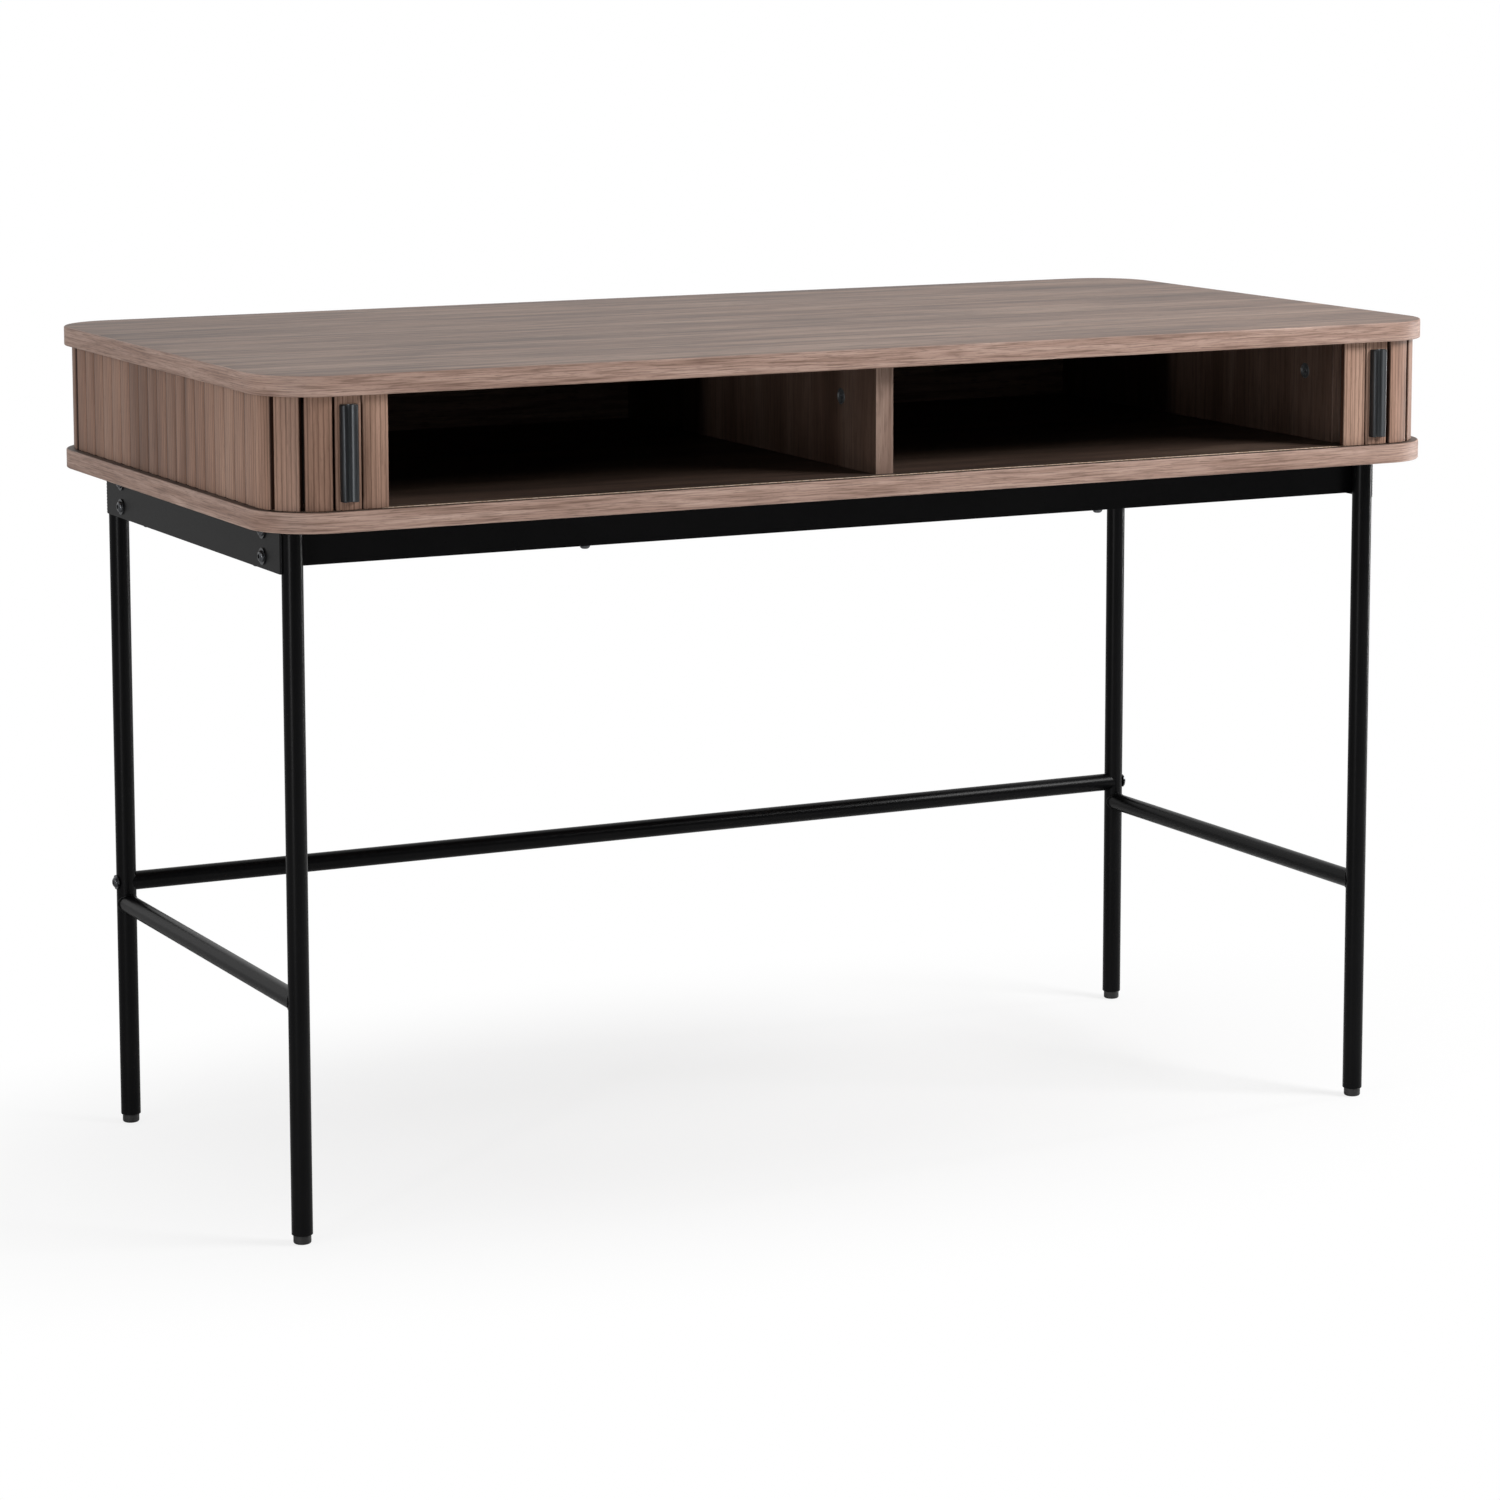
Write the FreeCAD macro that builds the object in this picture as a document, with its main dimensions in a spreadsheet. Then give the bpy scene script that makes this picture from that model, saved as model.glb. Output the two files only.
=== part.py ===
import FreeCAD, Part
import Sketcher
import math
import os

# A free-standing writing desk. A low case with rounded corners stands on a tube frame.
# Two tambour doors run in grooves in the case's boards, round the corners and along the sides.
# Millimetres, +Z up, the front towards -Y, the origin on the floor under the middle of the top.

doc = FreeCAD.newDocument("tambour_desk")
sizes = doc.addObject("Spreadsheet::Sheet", "Sizes")

DRIVING_SIZES = {
    # Case boards
    "width": 1200,
    "depth": 600,
    "height": 775,
    "board_thickness": 18,
    "cavity_height": 99,
    "corner_radius": 60,
    "board_arris": 1.2,
    # Inner panels of the case
    "panel_thickness": 18,
    "side_pocket": 82,
    "panel_setback": 42,
    "divider_setback": 22,
    "back_panel_thickness": 12,
    "back_pocket": 40,
    "rear_panel_thickness": 6,
    "rear_panel_setback": 0.5,
    "panel_arris": 0.6,
    # Fittings of the case
    "cam_diameter": 15,
    "cam_depth": 13,
    "cam_drop": 34,
    "cam_bolt_diameter": 6,
    "cam_bolt_reach": 11,
    "fitting_front_inset": 48,
    "fitting_rear_inset": 58,
    "panel_screw_diameter": 5,
    "panel_screw_head": 10,
    "panel_screw_head_height": 4,
    "panel_screw_reach": 40,
    "back_screw_diameter": 3.5,
    "back_screw_head": 8,
    "back_screw_head_height": 2.5,
    "back_screw_reach": 25,
    "back_screw_inset": 25,
    "hole_clearance": 0.1,
    # Tambour
    "slat_inset": 8,
    "slat_thickness": 6,
    "slat_pitch": 25,
    "slat_gap": 0.8,
    "slat_chamfer": 1.4,
    "slat_end_clearance": 0.5,
    "tongue_thickness": 4,
    "tongue_width": 12,
    "tongue_length": 4.5,
    "groove_depth": 5,
    "groove_clearance": 0.5,
    "lead_slats": 2,
    "tail_clearance": 25,
    "canvas_thickness": 0.8,
    "canvas_margin": 6,
    "glue_line": 0.1,
    # Door pulls
    "pull_length": 84,
    "pull_width": 16,
    "pull_depth": 7.5,
    "pull_wall": 2.5,
    "pull_screw_diameter": 3,
    "pull_screw_head": 6,
    "pull_screw_head_height": 1.8,
    "pull_screw_inset": 12,
    # Legs and feet
    "leg_diameter": 19,
    "leg_wall": 1.5,
    "leg_inset_x": 44,
    "leg_inset_y": 71,
    "foot_height": 8,
    "foot_diameter": 16,
    "foot_round": 2,
    "foot_stem": 20,
    "fit_gap": 0.05,
    # Rails under the case
    "rail_sheet": 2,
    "rail_flange": 18,
    "side_rail_height": 43,
    "cross_rail_height": 38,
    "tab_length": 50,
    "tab_bolt_offset": 32,
    "tab_bolt_drop": 9,
    "tab_bolt_spacing": 23,
    "rail_bolt_diameter": 6,
    "rail_bolt_head": 15,
    "rail_bolt_head_height": 4,
    "rail_bolt_tail": 3,
    "rail_nut_width": 10,
    "rail_nut_height": 5,
    "board_screw_diameter": 5,
    "board_screw_head": 10,
    "board_screw_head_height": 4,
    "board_screw_reach": 12,
    "board_screw_inset_x": 295.5,
    "board_screw_inset_y": 24.5,
    # Stretchers
    "stretcher_diameter": 18,
    "stretcher_wall": 1.5,
    "back_stretcher_height": 238,
    "side_stretcher_height": 217,
    "plug_length": 25,
    "stretcher_bolt_diameter": 6,
    "stretcher_bolt_head": 14,
    "stretcher_bolt_head_height": 4,
    "stretcher_bolt_reach": 40,
}

for row, (alias, value) in enumerate(DRIVING_SIZES.items(), start=1):
    sizes.set(f"A{row}", str(value))
    sizes.setAlias(f"A{row}", alias)
doc.recompute()


def size(alias):
    """A driving size as a number."""
    return float(sizes.get(alias))


class Formula:
    """A length worked out from the sheet, as an expression for the document."""

    def __init__(self, text):
        self.text = text

    def __add__(self, other):
        return Formula(f"({self.text} + {as_text(other)})")

    def __sub__(self, other):
        return Formula(f"({self.text} - {as_text(other)})")

    def __mul__(self, other):
        return Formula(f"({self.text} * {as_text(other)})")

    def __rmul__(self, other):
        return Formula(f"({as_text(other)} * {self.text})")

    def __truediv__(self, other):
        return Formula(f"({self.text} / {as_text(other)})")

    def __neg__(self):
        return Formula(f"(0 - {self.text})")


def as_text(value):
    return value.text if isinstance(value, Formula) else repr(value)


def cell(alias):
    return Formula(f"Sizes.{alias}")


nodes = []


def keep(feature, label):
    """Marks a finished sub-part and gives it the name of its node."""
    feature.Label = label
    nodes.append(feature)
    return feature


def bind(feature, **formulas):
    for prop, formula in formulas.items():
        feature.setExpression(prop, as_text(formula))


def place(feature, x, y, z, rotation=None):
    if rotation is not None:
        feature.Placement = FreeCAD.Placement(FreeCAD.Vector(), rotation)
    feature.setExpression("Placement.Base.x", as_text(x))
    feature.setExpression("Placement.Base.y", as_text(y))
    feature.setExpression("Placement.Base.z", as_text(z))


def block(name, x, y, z):
    """A box between two formulas along each axis, each given as (low, high)."""
    feature = doc.addObject("Part::Box", name)
    bind(feature, Length=x[1] - x[0], Width=y[1] - y[0], Height=z[1] - z[0])
    place(feature, x[0], y[0], z[0])
    return feature


TURN_TO_X = FreeCAD.Rotation(FreeCAD.Vector(0, 1, 0), 90)
TURN_TO_Y = FreeCAD.Rotation(FreeCAD.Vector(1, 0, 0), -90)
AXIS_TURNS = {"x": TURN_TO_X, "y": TURN_TO_Y, "z": None}


def rod(name, axis, start, length, diameter):
    """A round bar that starts at a point and runs along +X, +Y or +Z."""
    feature = doc.addObject("Part::Cylinder", name)
    bind(feature, Radius=diameter / 2, Height=length)
    place(feature, *start, rotation=AXIS_TURNS[axis])
    return feature


def nut_blank(name, start, length, across_flats):
    """A hexagonal bar along +X."""
    feature = doc.addObject("Part::Prism", name)
    feature.Polygon = 6
    bind(feature, Circumradius=across_flats / (2 * math.cos(math.pi / 6)), Height=length)
    place(feature, *start, rotation=TURN_TO_X)
    return feature


def join(name, features):
    feature = doc.addObject("Part::MultiFuse", name)
    feature.Shapes = features
    feature.Refine = True
    return feature


def group(name, features):
    feature = doc.addObject("Part::Compound", name)
    feature.Links = features
    return feature


def cut(name, base, tool):
    feature = doc.addObject("Part::Cut", name)
    feature.Base = base
    feature.Tool = tool
    return feature


def origin_plane(body, role):
    return next(item for item in body.Origin.OriginFeatures if item.Role == role)


def centred_rectangle(body, name, along_x, along_y, middle_y=None):
    """A sketch on the body's XY plane: a rectangle about the Z axis, or about a point on the Y axis."""
    sketch = body.newObject("Sketcher::SketchObject", name)
    sketch.AttachmentSupport = [(origin_plane(body, "XY_Plane"), "")]
    sketch.MapMode = "FlatFace"
    corners = [FreeCAD.Vector(x, y, 0) for x, y in ((-1, -1), (1, -1), (1, 1), (-1, 1))]
    for index in range(4):
        sketch.addGeometry(Part.LineSegment(corners[index], corners[(index + 1) % 4]), False)
    for index in range(4):
        sketch.addConstraint(Sketcher.Constraint("Coincident", index, 2, (index + 1) % 4, 1))
    for index, kind in enumerate(("Horizontal", "Vertical", "Horizontal", "Vertical")):
        sketch.addConstraint(Sketcher.Constraint(kind, index))
    for kind, line, formula in (("DistanceX", 0, along_x), ("DistanceY", 1, along_y)):
        constraint = sketch.addConstraint(Sketcher.Constraint(kind, line, 1, line, 2, 2.0))
        sketch.setExpression(f"Constraints[{constraint}]", as_text(formula))
    if middle_y is None:
        sketch.addConstraint(Sketcher.Constraint("Symmetric", 0, 1, 1, 2, -1, 1))
    else:
        for kind, formula in (("DistanceX", along_x / 2), ("DistanceY", along_y / 2 - middle_y)):
            constraint = sketch.addConstraint(Sketcher.Constraint(kind, 0, 1, -1, 1, 1.0))
            sketch.setExpression(f"Constraints[{constraint}]", as_text(formula))
    return sketch


def pad(body, name, sketch, height, both_ways=False):
    feature = body.newObject("PartDesign::Pad", name)
    feature.Profile = sketch
    feature.Midplane = both_ways
    feature.setExpression("Length", as_text(height))
    doc.recompute()
    return feature


def edge_names(feature, test):
    """The edges of a feature whose two ends both pass a test."""
    found = []
    for index, edge in enumerate(feature.Shape.Edges, start=1):
        ends = [vertex.Point for vertex in edge.Vertexes]
        if test(ends):
            found.append(f"Edge{index}")
    return found


def upright(ends):
    return abs(ends[0].z - ends[-1].z) > 0.5 * (ends[0] - ends[-1]).Length


def dress(body, kind, name, base, edges, prop, formula):
    """A fillet or chamfer on named edges of a body."""
    feature = body.newObject(f"PartDesign::{kind}", name)
    feature.Base = (base, edges)
    feature.setExpression(prop, as_text(formula))
    doc.recompute()
    return feature


def rounded_slab(name, along_x, along_y, radius, z, arris=None):
    """A flat slab about the Z axis with round corners and, if asked for, softened arrises."""
    body = doc.addObject("PartDesign::Body", name)
    plate = pad(body, name + "_pad", centred_rectangle(body, name + "_sketch", along_x, along_y), z[1] - z[0])
    last = dress(body, "Fillet", name + "_corners", plate, edge_names(plate, upright), "Radius", radius)
    if arris is not None:
        flat_edges = edge_names(last, lambda ends: not upright(ends))
        dress(body, "Fillet", name + "_arris", last, flat_edges, "Radius", arris)
    body.setExpression("Placement.Base.z", as_text(z[0]))
    return body


# Planes that the pieces share
half_width = cell("width") / 2
half_depth = cell("depth") / 2
top_face = cell("height")
ceiling = top_face - cell("board_thickness")
shelf = ceiling - cell("cavity_height")
underside = shelf - cell("board_thickness")
panel_inner_x = half_width - cell("side_pocket") - cell("panel_thickness")
panel_outer_x = half_width - cell("side_pocket")
panel_front_y = cell("panel_setback") - half_depth
divider_front_y = cell("divider_setback") - half_depth
back_panel_rear_y = half_depth - cell("back_pocket")
back_panel_front_y = back_panel_rear_y - cell("back_panel_thickness")
fitting_front_y = panel_front_y + cell("fitting_front_inset")
fitting_rear_y = back_panel_front_y - cell("fitting_rear_inset")
leg_x = half_width - cell("leg_inset_x")
leg_y = half_depth - cell("leg_inset_y")
leg_radius = cell("leg_diameter") / 2
zero = Formula("0")

# The three upright panels of the case, by the x of their two faces and their front edge.
# The last value is the face that the cam fitting is let into.
UPRIGHTS = {
    "left_inner_panel": (-panel_outer_x, -panel_inner_x, panel_front_y, "high"),
    "center_divider": (-(cell("panel_thickness") / 2), cell("panel_thickness") / 2, divider_front_y, "low"),
    "right_inner_panel": (panel_inner_x, panel_outer_x, panel_front_y, "low"),
}
FITTING_ROWS = {"front": fitting_front_y, "rear": fitting_rear_y}

# Case fittings: cam locks let into the uprights, their bolts into the top, screws up from below
clearance = cell("hole_clearance")
cam_z = ceiling - cell("cam_drop")
cam_locks = []
cam_bolts = []
panel_screws = []
cam_pockets = {label: [] for label in UPRIGHTS}
upright_holes = {label: [] for label in UPRIGHTS}
top_holes = []
bottom_holes = []
for label, (low_x, high_x, front_y, cam_face) in UPRIGHTS.items():
    middle_x = (low_x + high_x) / 2
    cam_start_x = low_x if cam_face == "low" else high_x - cell("cam_depth")
    pocket_start_x = low_x - clearance if cam_face == "low" else high_x - cell("cam_depth") - clearance
    for row_name, row_y in FITTING_ROWS.items():
        tag = f"{label}_{row_name}"
        bolt_length = cell("cam_drop") + cell("cam_bolt_reach")
        bolt_start = (middle_x, row_y, cam_z)
        cam_bolts.append(rod(tag + "_cam_bolt", "z", bolt_start, bolt_length, cell("cam_bolt_diameter")))
        bolt_hole_size = cell("cam_bolt_diameter") + clearance * 2
        bolt_hole_start = (middle_x, row_y, cam_z - clearance)
        bolt_hole_length = bolt_length + clearance * 2
        bolt_hole = rod(tag + "_cam_bolt_hole", "z", bolt_hole_start, bolt_hole_length, bolt_hole_size)
        cam = rod(tag + "_cam", "x", (cam_start_x, row_y, cam_z), cell("cam_depth"), cell("cam_diameter"))
        cam_locks.append(cut(tag + "_cam_lock", cam, bolt_hole))
        pocket_size = cell("cam_diameter") + clearance * 2
        pocket_length = cell("cam_depth") + clearance * 2
        cam_pockets[label].append(
            rod(tag + "_cam_pocket", "x", (pocket_start_x, row_y, cam_z), pocket_length, pocket_size)
        )
        upright_holes[label].append(bolt_hole)
        top_holes.append(bolt_hole)
        screw_length = cell("board_thickness") + cell("panel_screw_reach")
        screw = rod(tag + "_screw", "z", (middle_x, row_y, underside), screw_length, cell("panel_screw_diameter"))
        head_length = cell("panel_screw_head_height")
        head = rod(tag + "_screw_head", "z", (middle_x, row_y, underside), head_length, cell("panel_screw_head"))
        panel_screws.append(join(tag + "_panel_screw", [screw, head]))
        screw_hole_size = cell("panel_screw_diameter") + clearance * 2
        screw_hole_length = screw_length + clearance
        screw_hole = rod(
            tag + "_screw_hole", "z", (middle_x, row_y, underside), screw_hole_length, screw_hole_size
        )
        head_hole_size = cell("panel_screw_head") + clearance * 2
        head_hole = rod(
            tag + "_head_hole", "z", (middle_x, row_y, underside), head_length + clearance, head_hole_size
        )
        upright_holes[label].append(screw_hole)
        bottom_holes += [screw_hole, head_hole]

# Back panel screws, from behind into the rear edges of the uprights
back_screws = []
back_screw_holes = []
upright_edge_holes = {label: [] for label in UPRIGHTS}
for label, (low_x, high_x, front_y, cam_face) in UPRIGHTS.items():
    middle_x = (low_x + high_x) / 2
    for level, z in (("low", shelf + cell("back_screw_inset")), ("high", ceiling - cell("back_screw_inset"))):
        tag = f"{label}_{level}_back"
        tip_y = back_panel_front_y - cell("back_screw_reach")
        shank_length = cell("back_panel_thickness") + cell("back_screw_reach")
        shank = rod(tag + "_shank", "y", (middle_x, tip_y, z), shank_length, cell("back_screw_diameter"))
        head_height = cell("back_screw_head_height")
        head = rod(tag + "_head", "y", (middle_x, back_panel_rear_y, z), head_height, cell("back_screw_head"))
        back_screws.append(join(tag + "_screw", [shank, head]))
        hole_size = cell("back_screw_diameter") + clearance * 2
        hole_start = (middle_x, tip_y - clearance, z)
        hole = rod(tag + "_hole", "y", hole_start, shank_length + clearance, hole_size)
        back_screw_holes.append(hole)
        upright_edge_holes[label].append(hole)

# Screws that hold the case to the rails, up through both flanges of each channel
side_rail_low = underside - cell("side_rail_height")
cross_rail_low = underside - cell("cross_rail_height")
side_web_outer = leg_x + leg_radius + cell("rail_sheet")
side_web_inner = leg_x + leg_radius
side_flange_inner = side_web_inner - cell("rail_flange")
cross_web_outer = leg_y - leg_radius
cross_web_inner = cross_web_outer - cell("rail_sheet")
cross_flange_inner = cross_web_inner - cell("rail_flange")
tab_inner_x = side_web_inner - cell("rail_sheet")
tab_end_y = cross_web_outer - cell("tab_length")
board_screw_x = tab_inner_x - cell("board_screw_inset_x")
board_screw_y = tab_end_y - cell("board_screw_inset_y")
SCREW_PLACES = {}
for side in (-1, 1):
    hand = "left" if side < 0 else "right"
    end = "front" if side < 0 else "rear"
    flange_middle_x = side * ((side_web_inner + side_flange_inner) / 2)
    flange_middle_y = side * ((cross_web_inner + cross_flange_inner) / 2)
    for other in (-1, 1):
        number = "a" if other < 0 else "b"
        SCREW_PLACES[f"{hand}_{number}"] = (flange_middle_x, other * board_screw_y, side_rail_low)
        SCREW_PLACES[f"{end}_{number}"] = (other * board_screw_x, flange_middle_y, cross_rail_low)
board_screws = []
board_screw_holes = []
for tag, (x, y, low_z) in SCREW_PLACES.items():
    head_height = cell("board_screw_head_height")
    shank_length = underside - low_z + cell("board_screw_reach")
    shank = rod(f"{tag}_board_shank", "z", (x, y, low_z), shank_length, cell("board_screw_diameter"))
    head = rod(f"{tag}_board_head", "z", (x, y, low_z - head_height), head_height, cell("board_screw_head"))
    board_screws.append(join(f"{tag}_board_screw", [shank, head]))
    hole_size = cell("board_screw_diameter") + clearance * 2
    hole = rod(f"{tag}_board_hole", "z", (x, y, low_z - clearance), shank_length + clearance * 2, hole_size)
    board_screw_holes.append(hole)

# Top and bottom boards, with the tambour's groove round each
groove_middle = cell("slat_inset") + cell("slat_thickness") / 2
groove_half = cell("tongue_thickness") / 2 + cell("groove_clearance")


def groove_ring(name, z):
    """A flat ring that follows the boards' outline, as wide as the groove."""
    rims = []
    for rim, offset in (("outer", groove_middle - groove_half), ("inner", groove_middle + groove_half)):
        radius = cell("corner_radius") - offset
        slab = rounded_slab(
            f"{name}_{rim}", cell("width") - offset * 2, cell("depth") - offset * 2, radius, z
        )
        rims.append(slab)
    return cut(name, *rims)


def case_board(name, z, groove_z, holes):
    arris = cell("board_arris")
    slab = rounded_slab(name + "_slab", cell("width"), cell("depth"), cell("corner_radius"), z, arris)
    grooved = cut(name + "_grooved", slab, groove_ring(name + "_groove", groove_z))
    return cut(name, grooved, group(name + "_holes", holes))


keep(case_board("top", (ceiling, top_face), (ceiling, ceiling + cell("groove_depth")), top_holes), "top_board")
keep(
    case_board("bottom", (underside, shelf), (shelf - cell("groove_depth"), shelf), bottom_holes + board_screw_holes),
    "bottom_board",
)

# Uprights, back panel and rear cover between the boards


def soft_panel(name, x, y, z):
    """A panel whose upright arrises are softened."""
    body = doc.addObject("PartDesign::Body", name)
    plate = pad(body, name + "_pad", centred_rectangle(body, name + "_sketch", x[1] - x[0], y[1] - y[0]), z[1] - z[0])
    dress(body, "Fillet", name + "_arris", plate, edge_names(plate, upright), "Radius", cell("panel_arris"))
    place(body, (x[0] + x[1]) / 2, (y[0] + y[1]) / 2, z[0])
    return body


for label, (low_x, high_x, front_y, cam_face) in UPRIGHTS.items():
    plain = soft_panel(label + "_plain", (low_x, high_x), (front_y, back_panel_front_y), (shelf, ceiling))
    bores = cam_pockets[label] + upright_holes[label] + upright_edge_holes[label]
    keep(cut(label + "_bored", plain, group(label + "_bores", bores)), label)
back_plain = block(
    "back_plain", (-panel_outer_x, panel_outer_x), (back_panel_front_y, back_panel_rear_y), (shelf, ceiling)
)
keep(cut("back_bored", back_plain, group("back_bores", back_screw_holes)), "back_panel")
rear_panel_outer_y = half_depth - cell("rear_panel_setback")
rear_panel_end_x = half_width - cell("corner_radius")
keep(
    soft_panel(
        "rear_cover",
        (-rear_panel_end_x, rear_panel_end_x),
        (rear_panel_outer_y - cell("rear_panel_thickness"), rear_panel_outer_y),
        (shelf, ceiling),
    ),
    "rear_panel",
)
keep(group("all_cam_locks", cam_locks), "cam_locks")
keep(group("all_cam_bolts", cam_bolts), "cam_bolts")
keep(group("all_panel_screws", panel_screws), "panel_screws")
keep(group("all_back_screws", back_screws), "back_panel_screws")

# Legs with their feet
CORNERS = {
    "front_left": (-1, -1),
    "rear_left": (-1, 1),
    "front_right": (1, -1),
    "rear_right": (1, 1),
}
leg_bore = cell("leg_diameter") - cell("leg_wall") * 2
leg_length = underside - cell("foot_height")
bolt_outer_x = leg_x + leg_radius
bolt_length = cell("leg_diameter") + cell("stretcher_bolt_reach")
stretcher_bolts = []
stretcher_bolt_holes = {}
for side, hand in ((-1, "left"), (1, "right")):
    start_x = -bolt_outer_x if side < 0 else bolt_outer_x - bolt_length
    head_height = cell("stretcher_bolt_head_height")
    head_x = -bolt_outer_x - head_height if side < 0 else bolt_outer_x
    start = (start_x, leg_y, cell("back_stretcher_height"))
    shank = rod(hand + "_stretcher_shank", "x", start, bolt_length, cell("stretcher_bolt_diameter"))
    head_start = (head_x, leg_y, cell("back_stretcher_height"))
    head = rod(hand + "_stretcher_head", "x", head_start, head_height, cell("stretcher_bolt_head"))
    stretcher_bolts.append(join(hand + "_stretcher_bolt", [shank, head]))
    hole_size = cell("stretcher_bolt_diameter") + clearance * 2
    hole_start = (start_x - clearance, leg_y, cell("back_stretcher_height"))
    stretcher_bolt_holes[hand] = rod(
        hand + "_stretcher_hole", "x", hole_start, bolt_length + clearance * 2, hole_size
    )
leg_tubes = {}
for corner, (side, end) in CORNERS.items():
    start = (side * leg_x, end * leg_y, cell("foot_height"))
    outer = rod(corner + "_tube", "z", start, leg_length, cell("leg_diameter"))
    bore = rod(corner + "_bore", "z", start, leg_length, leg_bore)
    leg = cut(corner + "_hollow", outer, bore)
    if end > 0:
        leg = cut(corner + "_drilled", leg, stretcher_bolt_holes["left" if side < 0 else "right"])
    keep(leg, corner + "_leg")
    cope_size = cell("leg_diameter") + cell("fit_gap") * 2
    leg_tubes[corner] = rod(corner + "_cope", "z", start, leg_length, cope_size)
    foot_body = doc.addObject("PartDesign::Body", corner + "_foot_body")
    pad_sketch = foot_body.newObject("Sketcher::SketchObject", corner + "_foot_sketch")
    pad_sketch.AttachmentSupport = [(origin_plane(foot_body, "XY_Plane"), "")]
    pad_sketch.MapMode = "FlatFace"
    pad_sketch.addGeometry(Part.Circle(FreeCAD.Vector(), FreeCAD.Vector(0, 0, 1), 1), False)
    pad_sketch.addConstraint(Sketcher.Constraint("Coincident", 0, 3, -1, 1))
    radius_constraint = pad_sketch.addConstraint(Sketcher.Constraint("Radius", 0, 1.0))
    pad_sketch.setExpression(f"Constraints[{radius_constraint}]", as_text(cell("foot_diameter") / 2))
    shoe = pad(foot_body, corner + "_foot_pad", pad_sketch, cell("foot_height"))
    sole_edges = edge_names(shoe, lambda ends: max(point.z for point in ends) < 0.01)
    dress(foot_body, "Fillet", corner + "_foot_round", shoe, sole_edges, "Radius", cell("foot_round"))
    place(foot_body, side * leg_x, end * leg_y, zero)
    stem_size = leg_bore - cell("fit_gap") * 2
    stem = rod(corner + "_foot_stem", "z", start, cell("foot_stem"), stem_size)
    keep(join(corner + "_foot_whole", [foot_body, stem]), corner + "_foot")

# Side rails: folded channels whose webs lie outside the legs, welded to them
bolt_y = cross_web_outer - cell("tab_bolt_offset")
BOLT_LEVELS = {
    "upper": underside - cell("tab_bolt_drop"),
    "lower": underside - cell("tab_bolt_drop") - cell("tab_bolt_spacing"),
}
rail_bolts = []
rail_nuts = []
rail_bolt_holes = {"left": [], "right": []}
for corner, (side, end) in CORNERS.items():
    hand = "left" if side < 0 else "right"
    for level, z in BOLT_LEVELS.items():
        tag = f"{corner}_{level}"
        head_height = cell("rail_bolt_head_height")
        shank_length = cell("rail_sheet") * 2 + cell("rail_nut_height") + cell("rail_bolt_tail")
        start_x = -side_web_outer if side < 0 else side_web_outer - shank_length
        head_x = -side_web_outer - head_height if side < 0 else side_web_outer
        nut_x = -(side_web_inner - cell("rail_sheet"))
        if side > 0:
            nut_x = side_web_inner - cell("rail_sheet") - cell("rail_nut_height")
        y = end * bolt_y
        shank = rod(tag + "_rail_shank", "x", (start_x, y, z), shank_length, cell("rail_bolt_diameter"))
        head = rod(tag + "_rail_head", "x", (head_x, y, z), head_height, cell("rail_bolt_head"))
        rail_bolts.append(join(tag + "_rail_bolt", [shank, head]))
        hole_size = cell("rail_bolt_diameter") + clearance * 2
        hole_start = (start_x - clearance, y, z)
        hole = rod(tag + "_rail_hole", "x", hole_start, shank_length + clearance * 2, hole_size)
        rail_bolt_holes[hand].append(hole)
        blank = nut_blank(tag + "_nut_blank", (nut_x, y, z), cell("rail_nut_height"), cell("rail_nut_width"))
        rail_nuts.append(cut(tag + "_nut", blank, hole))


def ordered(side, inner, outer):
    """The low and high ends of a span that is mirrored to the given side."""
    return (-outer, -inner) if side < 0 else (inner, outer)


def channel(name, web, flange, along, low, high, across):
    """A folded channel: an upright web with a flange at its foot and one under the case."""
    sheet = cell("rail_sheet")
    spans = {"web": (web, along[0], (low, high))}
    spans["foot"] = (flange, along[1], (low, low + sheet))
    spans["head"] = (flange, along[1], (high - sheet, high))
    pieces = []
    for part_name, (over, run, z) in spans.items():
        x, y = (over, run) if across == "x" else (run, over)
        pieces.append(block(f"{name}_{part_name}", x, y, z))
    return pieces


for side, hand in ((-1, "left"), (1, "right")):
    web = ordered(side, side_web_inner, side_web_outer)
    flange = ordered(side, side_flange_inner, side_web_inner)
    runs = ((-leg_y, leg_y), (-tab_end_y, tab_end_y))
    pieces = channel(hand + "_side", web, flange, runs, side_rail_low, underside, "x")
    folded = join(hand + "_side_folded", pieces)
    bores = group(hand + "_side_bores", rail_bolt_holes[hand] + board_screw_holes)
    keep(cut(hand + "_side_bored", folded, bores), hand + "_side_rail")

# Front and rear rails: channels between the side rails, with a bolted tab at each end
for end, name in ((-1, "front"), (1, "rear")):
    web = ordered(end, cross_web_inner, cross_web_outer)
    flange = ordered(end, cross_flange_inner, cross_web_inner)
    runs = ((-tab_inner_x, tab_inner_x), (-tab_inner_x, tab_inner_x))
    pieces = channel(name + "_cross", web, flange, runs, cross_rail_low, underside, "y")
    for side, hand in ((-1, "left"), (1, "right")):
        tab_x = ordered(side, tab_inner_x, side_web_inner)
        tab_y = ordered(end, tab_end_y, cross_web_outer)
        pieces.append(block(f"{name}_{hand}_tab", tab_x, tab_y, (cross_rail_low, underside)))
    folded = join(name + "_cross_folded", pieces)
    all_holes = rail_bolt_holes["left"] + rail_bolt_holes["right"] + board_screw_holes
    keep(cut(name + "_cross_bored", folded, group(name + "_cross_bores", all_holes)), name + "_rail")
keep(group("all_rail_bolts", rail_bolts), "rail_bolts")
keep(group("all_rail_nuts", rail_nuts), "rail_nuts")
keep(group("all_board_screws", board_screws), "board_screws")

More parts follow.
